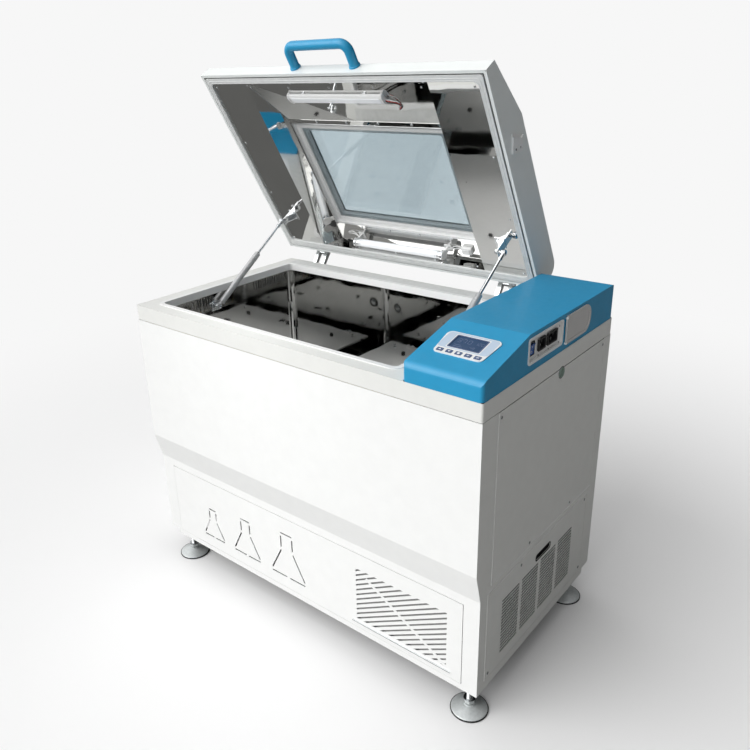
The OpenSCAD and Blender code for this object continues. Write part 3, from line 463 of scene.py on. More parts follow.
def window_ring(outside, inside, z0, z1):
    """Band round the window, its edges given as distances outside the outer pane's opening."""
    outer, inner = [round_rect(*grown(win, g), 4) for g in (outside, inside)]
    return band(outer, inner, z0, z1)


piece("lid_seal_beads", [bead(round_rect(20, 20, lid_w - 20, lid_d - 23, 12), 2.2, 1.6, 10),
                         bead(round_rect(26, 26, lid_w - 26, lid_d - 31, 14), 2.0, 1.4)],
      "seal_grey", ON_LID)
piece("window_gasket", [window_ring(9, -3, lid_top - 0.1, lid_top + 1.4),
                        window_ring(14.4, 9, 84.8, 86.1)], "seal_grey", ON_LID, bevel=0.4)
piece("window_beads", [window_ring(28.8, 26.4, 81.6, 82.9), window_ring(14.6, 12.4, 84.5, 84.9)],
      "white_plastic", ON_LID, bevel=0.4)
piece("window_trim", [window_ring(33.5, 30.1, liner_hi - 1.2, liner_hi + 0.1)],
      "aluminium_fins", ON_LID, bevel=0.4)
frame_holes = enumerate(around(grown(win, 41), 5, 3))
fasteners("window_frame_screws", dome_screw(4.4, 2.2),
          [place(x, y, liner_hi - 0.1, "-z", 30 * i) for i, (x, y) in frame_holes], ON_LID)
flange_holes = enumerate(around((42, 44, lid_w - 42, lid_d - 46), 6, 3))
fasteners("liner_screws", dome_screw(3.2, 1.6),
          [place(x, y, 6, "-z", 17 * i) for i, (x, y) in flange_holes], ON_LID)

# stay brackets, which hold the struts' upper ends
strut_joints = [joints["strut_left_tilt"], joints["strut_right_tilt"]]
low_l, low_r = [CAB.inverted() @ Vector(joint["pos_m"]) for joint in strut_joints]
mid_x = (low_l.x + low_r.x) / 2
top_x, top_y, top_h = low_l.x + 5.6, 530.0, -30.0


def both(x):
    """A left-hand X and its mirror image, each with the sign and the facing towards the middle."""
    return (x, 1, "+x"), (2 * mid_x - x, -1, "-x")


fasteners("stay_bracket_screws", dome_screw(4.2, 2.2),
          [place(x, top_y + dy, 3.9, "-z", 40) for x, _, _ in both(top_x + 26) for dy in (-12, 12)], ON_LID)
fasteners("stay_bracket_nuts", hex_bolt(6.6, 5),
          [place(x, top_y, top_h, inward) for x, _, inward in both(top_x + 15)], ON_LID)
gusset = prism([(0, 0), (22, 0), (0, -24)], -1, 1)
piece("stay_bracket_gussets", [(gusset, place(x, top_y + dy, 3.8, "-y") @ Matrix.Scale(sign, 4, (1, 0, 0)))
                               for x, sign, _ in both(top_x + 11) for dy in (-11, 11)],
      "plated_steel", ON_LID, bevel=0.3)

# LED batten, 60 mm up the liner's front slope
slope_rise, slope_run = 68, 168
SLOPE = (LID @ place(481, 88, 6 + 60 * slope_rise / slope_run)
         @ Matrix.Rotation(math.atan2(slope_rise, slope_run), 4, "X"))
ON_SLOPE = (SLOPE, "lid")
piece("led_diffuser", [prism(round_rect(-158, -9.5, 158, 9.5, 3), -13.9, -12.6)],
      "lamp_glass", ON_SLOPE, bevel=0.4)
end_cap = [(-18.4, 0.4), (-18.4, -9.6), (-9.4, -14.6), (9.4, -14.6), (18.4, -9.6), (18.4, 0.4)]
piece("led_end_caps", [(prism(end_cap, x, x + 6), on_yz()) for x in (-170, 164)],
      "white_plastic", ON_SLOPE, bevel=1.2)
wires = ((0, "key_navy", red_wire), (2.4, "black_rubber", None), (-2.4, "white_plastic", None))
for k, (d, slot, paint) in enumerate(wires):
    bends = [(169, 4 + d, -7), (181, 6 + d, -9 - d), (193, 14 + d * 2, -6),
             (201, 26 + d * 3, -2.5), (196 + d * 2, 42, -1.5), (186 + d, 52, -1.2)]
    piece(f"led_wire_{k + 1}", [cable(bends, 1.1, 8)], slot, ON_SLOPE, paint)
led_clip = band(round_rect_at(0, 0, 12, 40, 2, 3), round_rect_at(0, 0, 8.8, 34.8, 1, 3), -3, -0.4)
piece("led_clips", [(led_clip, place(x, 0, 0)) for x in (-110, 110)], "plated_steel", ON_SLOPE, bevel=0.3)

# lamp tube with its holders
lamp_y, lamp_h, lamp_x0, lamp_x1 = 649.0, 38.0, 311.0, 643.0
lamp_ends = ((lamp_x0, -1, "-x"), (lamp_x1, 1, "+x"))
lamp_cap = ring([(13.35, 0), (13.35, 9.5), (12.95, 10.5), (12.95, 14.5), (13.25, 15), (13.15, 16.5),
                 (12.2, 16.5), (12.2, 0)])
piece("lamp_caps", [(lamp_cap, place(lamp_x0 + 0.2, lamp_y, lamp_h, "+x")),
                    (lamp_cap, place(lamp_x1 - 0.2, lamp_y, lamp_h, "-x"))], "aluminium_fins", ON_LID)
holder_slot = band(round_rect_at(0, 0, 11, 25.2, 5), round_rect_at(0, 0, 7.2, 21.2, 3), 0, 1.1)
piece("lamp_holder_slots", [(holder_slot, place(x + 11 * s, lamp_y, lamp_h, out))
                            for x, s, out in lamp_ends], "white_plastic", ON_LID, bevel=0.3)
lead = ((0, -4, 1, 58), (14, -8, 1, 66), (34, -14, 2, 71.5), (56, -8, 1, 72.8))
piece("lamp_wires", [cable([(x + s * (7 + dx), lamp_y + dy + gap * k, z) for dx, dy, k, z in lead], 1.6, 8)
                     for x, s, _ in lamp_ends for gap in (0, 5)], "white_plastic", ON_LID)
lamp_clip = ring([(15.2, 0), (15.9, 0.6), (15.9, 5.4), (15.2, 6), (14.6, 6), (14.6, 0)], 40)
piece("lamp_clips", [(lamp_clip, place(x, lamp_y, lamp_h, "+x")) for x in (lamp_x0 - 9, lamp_x1 + 3)],
      "chrome_rod", ON_LID)
lamp_feet = (lamp_x0 - 6, lamp_x1 + 6)
piece("lamp_foot_plates", [prism(round_rect_at(x, lamp_y, 26, 26, 3), 71.6, 73.8) for x in lamp_feet],
      "white_plastic", ON_LID, bevel=0.5)
fasteners("lamp_foot_screws", dome_screw(2.4, 1.4),
          [place(x + dx, lamp_y - 7, 71.7, "-z", 20) for x in lamp_feet for dx in (-8, 8)], ON_LID)
piece("lamp_connector", [block((lamp_x1 + 62, 632, 62), (lamp_x1 + 96, 656, 73.8)),
                         block((lamp_x1 + 66, 635, 58), (lamp_x1 + 92, 653, 62))],
      "white_plastic", ON_LID, bevel=1.5)

# handle: a smooth bar in place of the CAD's, ferrules where it meets the lid, and grip ribs
handle_x, handle_half, handle_reach, handle_bend, handle_r, handle_h = 480, 105, 64, 24, 13, 32
u, v = handle_half - handle_bend, handle_reach - handle_bend
near_bend = arc(-u, -v, handle_bend, [180 + 7.5 * i for i in range(13)])
far_bend = arc(u, -v, handle_bend, [270 + 7.5 * i for i in range(13)])
grip_line = [(-handle_half, -0.2), *near_bend, *far_bend, (handle_half, -0.2)]
grip = piece("handle_bar", [(tube([(x, y, 0) for x, y in grip_line], handle_r, 36),
                             place(handle_x, 0, handle_h))], "blue_plastic", ON_LID)
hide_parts("lid_handle")
ferrule = ring([(15.5, 0), (15.5, 2.5), (14.6, 4.5), (13.6, 5.2), (13.05, 9), (12.6, 9), (12.6, 0)])
piece("handle_ferrules", [(ferrule, place(handle_x + dx, -0.3, handle_h, "-y"))
                          for dx in (-handle_half, handle_half)], "blue_plastic", ON_LID)
grip_rib = ring([(13.0, -0.6), (13.25, -0.3), (13.25, 0.3), (13.0, 0.6)], 40)
piece("handle_grip_ribs", [(grip_rib, place(handle_x + dx, -handle_reach, handle_h, "+x"))
                           for dx in (-66, 66)], "blue_plastic", ON_LID)

# microswitch tab, the lid's folded corners, hinge leaves
hinge_xs = (125, 860)
fasteners("switch_tab_screws", dome_screw(3.0, 1.4),
          [place(lid_w + 5.4, y, h, "+x", 15) for y, h in ((238, 38), (246, 60))], ON_LID)
piece("lid_corner_welds", [tube([(x, 1.2, 4.5), (x, 0.9, 24), (x, 1.2, 43)], 0.55, 8)
                           for x in (1.2, lid_w - 1.2)], "pale_lid_paint", ON_LID)
leaf_tilt = Matrix.Rotation(-math.atan2(23, 104), 4, "X")
fasteners("hinge_leaf_bolts", hex_bolt(4.6, 3.2),
          [place(x + dx, lid_d, 3) @ leaf_tilt @ place(0, 3.2, z, "+y", 11 * dx)
           for x in hinge_xs for dx in (-16, 16) for z in (16, 50)], ON_LID)
fold_l, fold_r, fold_near, fold_far, fold_h = 206, 786, 196, 676, liner_hi - 0.4
folds = [[(rim_x, 28, 6), (x, fold_near, fold_h - 0.2)] for rim_x, x in ((178, fold_l), (814, fold_r))]
folds += [[(x, fold_near, fold_h), (x, fold_far, fold_h)] for x in (fold_l, fold_r)]
folds += [[(fold_l, y, fold_h), (fold_r, y, fold_h)] for y in (fold_near, fold_far)]
piece("liner_fold_lines", [tube(line, 0.7, 8) for line in folds], "mirror_steel", ON_LID)

# ------------ gas struts
stroke_axis = joints["strut_left_stroke"]["axis"]
tilt = math.atan2(stroke_axis[2], stroke_axis[1])
open_len = 385.96
crimp = ring([(10.25, 0), (10.55, 1), (10.55, 3), (10.25, 4), (9.5, 4), (9.5, 0)])
shoulder = ring([(9.9, 0), (8.0, 2.6), (4.9, 2.9), (4.9, 0)])
rod_seal = ring([(7.2, 0), (6.6, 1.6), (4.7, 1.8), (4.7, 0)])
spring_clip = tube([(9.3 * math.cos(a / 10), 9.3 * math.sin(a / 10), 0) for a in range(6, 58)], 0.8, 8)
for hand, low in (("left", low_l), ("right", low_r)):
    STRUT = CAB @ Matrix.Translation(low) @ Matrix.Rotation(tilt, 4, "X") @ FACINGS["+y"]
    on_tube, on_rod = (STRUT, f"tube_{hand}"), (STRUT, f"rod_{hand}")
    piece(f"strut_crimps_{hand}", [(crimp, place(0, 0, z)) for z in (19, 205, 213)]
          + [(shoulder, place(0, 0, 231.3))], "strut_grey", on_tube)
    piece(f"strut_seal_{hand}", [(rod_seal, place(0, 0, 233.6))], "black_rubber", on_tube)
    piece(f"strut_low_clip_{hand}", [(spring_clip, place(x, 0, 0, "+x")) for x in (-2.2, 2.2)],
          "plated_steel", on_tube)
    piece(f"strut_top_nut_{hand}", [(prism(hexagon(7.2), 0, 5), place(0, 0, open_len - 28))],
          "plated_steel", on_rod, bevel=0.5)
    piece(f"strut_top_clip_{hand}", [(spring_clip, place(x, 0, open_len, "-x")) for x in (2.2, -2.2)],
          "plated_steel", on_rod)
fasteners("strut_anchor_screws", dome_screw(3.8, 1.8),
          [place(x, low_l.y + dy, low_l.z + dz, inward, 25)
           for x, _, inward in both(60.3) for dy in (-13, 13) for dz in (-11, 11)])
fasteners("strut_anchor_domes", [lathe([(6.2, 0), (6.2, 1.4), (4.6, 3.2), (2.2, 4.2), (0.4, 4.4)], 28)],
          [place(x, low_l.y, low_l.z, inward) for x, _, inward in both(81.0)], slot="chrome_rod")

# ------------ deck and chamber
film_edge = [(40, 629), (300, 628), (301, 631), (560, 630), (760, 629), (951, 631),
             (953, 676), (700, 675), (698, 677), (420, 676), (200, 677), (40, 675)]
piece("deck_film", [prism(film_edge, deck_z + 0.1, deck_z + 0.45)], "grey_paint", material=film)
foot_outer = round_rect(994.4, 0.6, 1198.8, 677.6, 3)
foot_inner = round_rect(997.5, 3.5, 1195.5, 674.5, 2)
piece("console_foot_seal", [band(foot_outer, foot_inner, deck_z + 0.02, deck_z + 1.3)], "black_rubber")
fasteners("hinge_bracket_bolts", hex_bolt(4.8, 3.4),
          [place(x + dx, 684.2, 857, "+y", 9 * dx) for x in hinge_xs for dx in (-14, 14)])
pin_clip = ring([(7.4, 0), (7.4, 0.9), (4.3, 0.9), (4.3, 0)], 24)
piece("hinge_pin_clips", [(pin_clip, place(x + s * 25.3, 719, deck_z + 30, out))
                          for x in hinge_xs for s, out in ((1, "+x"), (-1, "-x"))], "plated_steel")

liner_sheet = 1.2
floor_z = 385.1
liner_near, liner_far = cab_box("chamber_liner")
left_x = liner_near.x + liner_sheet
front_y = liner_near.y + liner_sheet
wall_x = liner_far.x - liner_sheet
air_slots = (470, 780)
piece("air_slot_frames", [(rim((142, z - 8, 534, z + 70), 6, 5, 3, 0, 1.4), on_yz(wall_x - 0.05, way=-1))
                          for z in air_slots], "mirror_steel", bevel=0.3)
fasteners("chamber_screws", dome_screw(3.0, 1.4),
          [place(wall_x - 1.3, y, z + dz, "-x", 33)
           for z in air_slots for y in (144.6, 338, 531.4) for dz in (-5.4, 67.4)])
sensor = lathe([(2.4, 0), (3, 1), (3, 70), (4.2, 71), (4.2, 84), (2.2, 86)], 20)
sensor_lead = [(wall_x - 14, 560, 725), (wall_x - 13, 562, 750), (wall_x - 6, 564, 765),
               (wall_x - 0.5, 565, 768)]
piece("temperature_probe", [(sensor, place(wall_x - 14, 560, 640)), cable(sensor_lead, 1.8)]
      + [block((wall_x - 20, 556, z), (wall_x - 0.1, 564, z + 12)) for z in (660, 700)],
      "chrome_rod", bevel=0.3)
guard_rod = lathe([(3.2, 0), (3.2, 6), (4.4, 7), (4.4, 60), (6.5, 62), (6.5, 66), (2, 68)], 20)
fasteners("wall_guard_rods", [guard_rod], [place(x, y, 385.2) for x in (84, 911) for y in (82, 585)])
drain_bar = prism(round_rect_at(0, 0, 18, 1.8, 0.8, 3), 0.1, 0.9)
piece("chamber_drain", [(ring([(16, 0), (16, 1.4), (12, 2.2), (9, 0.8), (9, 0)]), place(120, 560, floor_z))]
      + [(drain_bar, place(120, 560, floor_z, "+z", spin)) for spin in (0, 90)], "plated_steel")

# the port, and black bars on the chamber's left mirror wall as painted shade in its vent slots
port_x, port_z = 122.0, 590.0
port_screws = arc(port_x, port_z, 16.5, [math.degrees(a) for a in (0.4, 2.5, 4.6)])
piece("wall_port_cap", [(lathe([(12.4, 0), (12.4, 3.0), (9, 4.8), (0.5, 5.0)]),
                         place(port_x, front_y, port_z, "+y"))], "plated_steel")
piece("wall_port", [(ring([(21, 0), (21, 1.6), (19, 2.6), (14, 2.6), (12.5, 1.2), (12.5, 0)]),
                     place(port_x, front_y, port_z, "+y"))]
      + at_all(dome_screw(2.4, 3.6), [place(x, front_y, z, "+y") for x, z in port_screws]), "black_frame")
# black bars 0.35 mm proud of the left wall: painted shade of the vent slots
piece("wall_vent_painted_shade", [block((left_x + 0.05, y, 840), (left_x + 0.4, y + 4, 868))
                           for y in (*range(185, 245, 11), *range(430, 585, 11))],
      "black_rubber", bevel=0.1)

# the driven shaft and the two idlers: X, Y, radius
crank_x, crank_y = 497.5, 333.5
shafts = ((crank_x, crank_y, 15), (crank_x - 250, crank_y + 120, 10), (crank_x + 250, crank_y + 120, 10))
piece("shaft_boots", [(ring([(r + 9, 0), (r + 9, 1.6), (r + 5.2, 2.4), (r + 4.6, 3.6), (r + 1.2, 3.8),
                             (r + 1.2, 0)]), place(x, y, floor_z)) for x, y, r in shafts], "black_rubber")

# ------------ platform
platform_near, platform_far = cab_box("platform")
middle = (platform_near + platform_far) / 2
plate_top, carriage_low = 450, 405.9
ON_PLATFORM = (CAB @ place(middle.x, middle.y, plate_top), "tray")
fasteners("platform_screws", dome_screw(5.2, 2.6),
          [place(x, y, 7, "+z", 40) for x in (-285, 285) for y in (-224.5, 224.5)], ON_PLATFORM)
# black blocks set in the platform's holes and rising above the plate: painted shade of the holes
upright_hole_shades = [(x, y, 11.8, 11.8, 14) for x in (-260, 0, 260) for y in (-140, 80)]
flat_hole_shades = [(x, y, 29.8, 12.8, 5) for x, y in ((54, -160), (285, -30), (-200, 0))]
piece("platform_hole_shade_blocks", [prism(round_rect_at(x, y, w, d, 0.8, 3), -3.7, top)
                       for x, y, w, d, top in upright_hole_shades + flat_hole_shades],
      "black_rubber", ON_PLATFORM, bevel=0.6)
ball_stud = lathe([(5.5, 0), (5.5, 1.2), (2.2, 1.8), (2.2, 4.4), (4.2, 6), (4.9, 8.2), (4.2, 10.6),
                   (2, 12), (0.3, 12.3)], 24)
fasteners("clamp_ball_studs", [ball_stud], [place(x, y, 0) for x in (-340, 340) for y in (-190, 0, 190)],
          ON_PLATFORM, "chrome_rod")
piece("platform_edge_rail", [bead(round_rect_at(0, 0, 784, 462, 8), 0.6, 1.7)], "tray_steel", ON_PLATFORM)
bumper = lathe([(7, 0), (7, 3), (6, 4.4), (2, 4.8)], 20)
fasteners("platform_bumpers", [bumper], [place(s * 395.4, y, -2, out) for s, out in ((-1, "-x"), (1, "+x"))
                                         for y in (-180, 180)], ON_PLATFORM, "black_rubber")
bearings = ((0, 0, 23, 10), (-250, 120, 16, 7), (250, 120, 16, 7))
piece("carriage_bearing_caps",
      [(ring([(r, 0), (r, -3), (r - 2, -4), (s + 3, -4), (s + 2.4, -2), (s + 2.4, 0)]),
        place(x, y, carriage_low - plate_top)) for x, y, r, s in bearings], "plated_steel", ON_PLATFORM)

# ------------ drive
motor_x = 250.5
ON_CRANK = (CAB, "crank")
fasteners("counterweight_bolts", hex_bolt(6.5, 2.6),
          [place(crank_x - 62, crank_y + y, 401) for y in (-18, 18)], ON_CRANK)
hub = ring([(26, 0), (26, -6), (22, -9), (15.2, -9), (15.2, 0)])
hub_bolts = arc(crank_x, crank_y, 20.5, [math.degrees(a) for a in (0.5, 2.6, 4.7)])
piece("crank_hub", [(hub, place(crank_x, crank_y, 260))]
      + at_all(hex_bolt(4.5, 4), [place(x, y, 254, "-z") for x, y in hub_bolts]), "cast_grey", ON_CRANK)
pulley_hub = ring([(16, 0), (16, 4), (14, 5.5), (7.2, 5.5), (7.2, 0)])
fasteners("motor_pulley_hub", [pulley_hub], [place(motor_x, crank_y, 292)], (CAB, "motor_pulley"))
belt_line = arc(crank_x, crank_y, 79.3, range(-98, 99, 7))
belt_line += arc(motor_x, crank_y, 34.3, range(101, 260, 10))
piece("belt_ribs", [bead(belt_line, z, 0.6, 6) for z in (268, 276, 284)], "black_rubber")
motor_fin = ring([(54, 0), (58.5, 0.6), (58.5, 1.8), (54, 2.4)])
piece("motor_fins", [(motor_fin, place(motor_x, crank_y, z)) for z in range(146, 224, 7)], "motor_blue")
fasteners("motor_mount_nuts", hex_bolt(9, 6),
          [place(motor_x + x, crank_y + y, 240.1) for x in (-56, 56) for y in (-56, 56)])
piece("bearing_collars", [(ring([(r + 9, 0), (r + 9, 3), (r + 7, 4), (r + 0.9, 4), (r + 0.9, 0)]),
                           place(x, y, 352.1)) for x, y, r in shafts], "plated_steel")
fasteners("drive_plate_bolts", hex_bolt(8, 5.3),
          [place(crank_x + x * sx, crank_y + y * sy, 342.1)
           for x, y in ((285, 168), (22, 90)) for sx in (-1, 1) for sy in (-1, 1)])
motor_lead = [(motor_x + 82, crank_y, 190), (420, 340, 170), (560, 520, 140), (760, 560, 130),
              (900, 590, 122), (1010, 612, 150), (1020, 622, 300), (1022, 624, 600), (1024, 600, 820),
              (1050, 560, 880)]
piece("motor_cable", [cable(motor_lead, 4.2)], "black_rubber")

# ------------ cooling
fan_x, fan_z = 965.0, 208.0


def guard_rib(a):
    """One spoke of the fan guard, bent back over the fan's rim."""
    spoke = ((18, 70.5), (94, 70.5), (97, 138))
    return tube([(fan_x + r * math.cos(a), y, fan_z + r * math.sin(a)) for r, y in spoke], 1.8, 8)


piece("fan_guard", [(ring([(r + 1.3, -1.3), (r + 1.3, 1.3), (r - 1.3, 1.3), (r - 1.3, -1.3)], 60),
                     place(fan_x, 68, fan_z, "-y")) for r in range(20, 93, 12)]
      + [guard_rib(math.radians(45 + 90 * i)) for i in range(4)], "black_frame")
piece("fan_hub_cap", [(lathe([(24, 0), (22, 2.6), (16, 4.2), (3, 5)]), place(fan_x, 82, fan_z, "-y"))],
      "fan_plastic", (CAB, "condenser_fan"))


def return_bend(x, z, sideways, row):
    """Half-round end of a condenser pipe."""
    angles = [math.radians(-90 + 15 * i) for i in range(13)]
    bend = [(x + 6 * sideways * math.cos(a), 150 + 24 * row, z + 11 + 11 * math.sin(a)) for a in angles]
    return tube(bend, 4, 8)


piece("condenser_tubes", [return_bend(x, z, s, row) for x, s in ((845, -1), (1085, 1)) for row in (0, 1)
                          for z in range(120, 280, 38)], "aluminium_fins", material=copper)
discharge = [(1060, 430, 289), (1060, 430, 305), (1070, 380, 318), (1095, 260, 312), (1098, 190, 290),
             (1090, 172, 280)]
suction = [(1010, 470, 282), (1000, 500, 320), (990, 530, 420), (990, 525, 500), (995, 519, 520)]
liquid = [(1090, 160, 130), (1105, 210, 128), (1110, 300, 140), (1150, 380, 200), (1150, 500, 360),
          (1100, 535, 480), (1014, 519, 560)]
piece("refrigerant_pipes", [cable(discharge, 4), cable(suction, 5), cable(liquid, 3)],
      "aluminium_fins", material=copper)
compressor_x, compressor_y = 1060, 430
compressor_top = lathe([(30, 0), (30, 2), (26, 6), (24, 22), (20, 26), (8, 28)])
piece("compressor_fittings", [(compressor_top, place(compressor_x, compressor_y, 288)),
                              block((1128, 400, 170), (1150, 460, 236)),
                              block((1132, 404, 236), (1146, 456, 242))],
      "black_plastic", bevel=1.5)
piece("compressor_weld_seam", [(ring([(78.2, -2), (80.4, -1), (80.4, 1), (78.2, 2)]),
                                place(compressor_x, compressor_y, 205))], "black_frame")
blower_y, blower_z = 333, 700
blower_fin = ring([(36, 0), (39.5, 0.6), (39.5, 1.8), (36, 2.4)])
piece("blower_motor_fins", [(blower_fin, place(x, blower_y, blower_z, "+x")) for x in range(1086, 1134, 7)],
      "plated_steel")
fasteners("blower_wheel_nut", hex_bolt(8, 6), [place(1051.5, blower_y, blower_z, "-x")],
          (CAB, "blower_wheel"))
piece("blower_inlet_ring", [(ring([(62, 0), (62, 1.2), (56, 3.5), (52.4, 5.5), (51.2, 5.5), (52.2, 0)]),
                             place(1024, blower_y, blower_z, "-x"))], "plated_steel")
piece("front_dust_filter", [(prism(round_rect(812, 118, 1118, 300, 4), 26.2, 30), on_xz())],
      "black_rubber", material=mat_grey, bevel=0.8)
rail = prism([(0, 0), (14, 0), (14, 1.5), (1.5, 1.5), (1.5, 8), (0, 8)], 806, 1124)
piece("front_filter_rails", [(rail, Matrix(((0, 0, 1, 0), (0, s, 0, 24.6), (s, 0, 0, z), (0, 0, 0, 1))))
                             for z, s in ((302, 1), (116, -1))], "plated_steel")

# ------------ side and front panels
side_x = 1200.0
upper_cover = (70.3, 388.3, 635.7, 841.7)
lower_cover = (56.3, 105.3, 619.7, 369.7)
louver_lip = prism([(0.4, -1.3), (89.6, -1.3), (88.6, 0), (1.4, 0)], 0, 0.8)
piece("louver_lips", [(louver_lip, on_yz(side_x, 132 + 104 * group, 140 + 9.8 * row))
                      for group in range(4) for row in range(17)], "grey_paint", bevel=0.3)
# a dark sheet just behind the side louvres: painted shade in their slots
piece("louvre_shade_sheet", [(prism(round_rect(112, 118, 566, 310, 4), side_x - 5, side_x - 4), on_yz())],
      "black_plastic", bevel=0.6)
piece("grip_slot_lips", [(rim((306, 313, 394, 335), 9, 3.4, 6.6, side_x, side_x + 0.8), on_yz())],
      "black_rubber", bevel=0.3)
grip_well = (303, 311, 397, 337)
piece("grip_slot_tray", [(prism(round_rect(*grip_well, 8), side_x - 16, side_x - 14.5), on_yz()),
                         (rim(grip_well, 8, 1.5, 7, side_x - 15, side_x - 1.7), on_yz())], "black_plastic")
# the covers' folded edges are real; the pale beads along them are a painted highlight where those edges catch the
# light
highlight_lines = ([(70.4, 842), (70.4, 388.4), (636, 388.4)], [(56.4, 105), (56.4, 369.6), (620, 369.6)])
piece("cover_edge_highlights", [tube([(side_x + 0.3, y, z) for y, z in line], 0.9, 8) for line in highlight_lines],
      "white_paint")
piece("latch_escutcheon", [(ring([(16.2, 0), (16.2, 0.7), (15.4, 1.1), (13.4, 1.1), (13.4, 0)]),
                            place(side_x + 0.02, 376, 833, "+x"))], "plated_steel")
piece("cover_fold_edges", [(rim(rect, 1.5, 1.2, 1, side_x - 12, side_x - 0.2, 3), on_yz())
                           for rect in (upper_cover, lower_cover)], "grey_paint")
panel_clip = prism([(0, 0), (26, 0), (26, 7), (20, 9), (6, 9), (0, 7)], 24, 27)
piece("service_panel_clips", [(panel_clip, on_xz(x, z=z)) for x in (80, 420, 760) for z in (334, 93)],
      "plated_steel", bevel=0.5)
rear_y = 680.05
fasteners("rear_screws", dome_screw(4, 1.6),
          [place(x, rear_y, z, "+y", 20) for x in (30, 400, 800, 1170) for z in (110, 470, 835)])
gland = lathe([(15, 0), (15, 1.5), (12, 2.5), (12, 12), (10, 16), (6, 18), (5, 24)], 6)
piece("rear_cable_gland", [(gland, place(1130, rear_y, 160, "+y"))], "black_plastic", bevel=0.8)
piece("frame_gussets", [(prism([(0, 0), (60, 0), (0, 60)], 0, 4), on_xz(x, y, 128, s))
                        for x, s in ((29, 1), (1171, -1)) for y in (30, 660)], "black_frame", bevel=0.6)

# ------------ console
key_axis = Vector(joints["key_3_press"]["axis"])
lean = math.atan2(key_axis.y, -key_axis.z)
console_near, console_far = cab_box("console_housing")
PANEL = CAB @ place(console_near.x + 99, 0, deck_z + 46) @ Matrix.Rotation(lean, 4, "X")
ON_PANEL = (PANEL, "cabinet")
piece("screen_gasket", [band(round_rect(-41.5, 91.5, 41.5, 142.5, 3),
                             round_rect(-38.2, 94.6, 38.2, 139.4, 2), 1.9, 2.5)],
      "key_navy", ON_PANEL, bevel=0.2)
strokes = {"a": (0, 10, 6, 10), "b": (6, 5, 6, 10), "c": (6, 0, 6, 5), "d": (0, 0, 6, 0),
           "e": (0, 0, 0, 5), "f": (0, 5, 0, 10), "g": (0, 5, 6, 5)}
digit_z0, digit_z1 = 0.92, 1.05


def seven(segments, x, y, size):
    """Some of a seven-segment digit's strokes, each a bar with pointed ends."""
    out = []
    for s in segments:
        x0, y0, x1, y1 = strokes[s]
        a, b = Vector((x + x0 * size, y + y0 * size)), Vector((x + x1 * size, y + y1 * size))
        t = (b - a).normalized()
        n = Vector((-t.y, t.x)) * size * 0.715
        a, b = a + t * size * 0.7, b - t * size * 0.7
        bar = [a + n, a - t * 0.5, a - n, b - n, b + t * 0.5, b + n]
        out.append(prism([tuple(p) for p in bar], digit_z0, digit_z1))
    return out


digits = [("abcdg", -30, 118, 1.35), ("abc", -18, 118, 1.35), ("abcdef", -4, 118, 1.35),
          ("bc", 14, 120, 0.9), ("abged", 22, 120, 0.9), ("abcdef", 30, 120, 0.9),
          ("bcfg", 10, 102, 0.7), ("abcdefg", 17, 102, 0.7)]
bars = [(-31, 100, -8, 102), (-31, 106, -14, 108)]
piece("screen_digits", [stroke for spec in digits for stroke in seven(*spec)]
      + [prism(round_rect(*bar, 0.8, 3), digit_z0, digit_z1) for bar in bars],
      "lamp_glass", ON_PANEL, digit)


def dash(x, y, width, height):
    return prism(round_rect_at(x, y, width, height, 0.3, 2), 0, 0.15)


key_marks = ([prism([(-2.6, -1.2), (2.6, -1.2), (0, 2)], 0, 0.15)],
             [prism([(0, -2), (2.6, 1.2), (-2.6, 1.2)], 0, 0.15)],
             [lathe([(2.4, 0), (2.4, 0.15), (0.01, 0.15)], 24)],
             [dash(0, 0, 5.2, 0.8), dash(0, 0, 0.8, 4.4)],
             [dash(0, 0.95, 4.8, 0.7), dash(0, -0.95, 4.8, 0.7)])
key_pitch, key_row = 24, 75
for i, shapes in enumerate(key_marks):
    KEY = PANEL @ place((i - 2) * key_pitch, key_row, 3.2) @ Matrix.Diagonal((1.35, 1.35, 1, 1))
    piece(f"key_mark_{i + 1}", shapes, "white_plastic", (KEY, f"key_{i + 1}"), mark)
piece("bezel_film", [band(round_rect(-65, 86, 65, 150, 10), round_rect(-44, 89.5, 44, 145, 1.5),
                          2.1, 2.35)], "white_plastic", ON_PANEL, pale_film, bevel=0.05)
seam_z = deck_z + 4
seams = [[(994.6, 1.2, seam_z), (1198.4, 1.2, seam_z)], [(1199, 3, seam_z), (1199, 670, seam_z)]]
piece("console_cap_seam", [tube(line, 0.5, 8) for line in seams], "blue_plastic")

# sockets and switch on the console's right side
face_x = console_far.x
contacts = ((258, 946, 2.2, 7), (270, 946, 2.2, 7), (264, 938, 2.2, 7),
            (306, 948, 2.2, 8), (328, 948, 2.2, 8), (317, 938, 2.2, 8))
piece("socket_contacts", [(prism(round_rect_at(*contact, 0.7, 3), face_x - 16, face_x - 6), on_yz())
                          for contact in contacts], "plated_steel", bevel=0.2)
openings = [(y - w / 2, 927.4, y + w / 2, 958.6) for y, w in ((264, 37.2), (317, 51.2))]
piece("socket_bezels", [(rim(opening, 2.4, 4.6, 3.4, face_x - 2.6, face_x - 0.8), on_yz())
                        for opening in openings], "black_plastic", bevel=0.5)
fasteners("socket_plate_screws", dome_screw(2.3, 0.9),
          [place(face_x + 1.0, y, z, "+x", 35) for z in (962, 922) for y in (240, 290.5, 345)])
rocker_pivot = CAB.inverted() @ Vector(joints["rocker_tip"]["pos_m"])
ROCKER = CAB @ Matrix.Translation(rocker_pivot) @ Matrix.Rotation(math.radians(9), 4, "Y")
rocker_slope = math.atan2(2.0, 13.5)
off_ring = ring([(3.0, 0), (3.0, 0.35), (2.3, 0.35), (2.3, 0)], 24)
on_bar = prism(round_rect_at(0, 0, 5.2, 0.8, 0.35, 3), 0, 0.35)
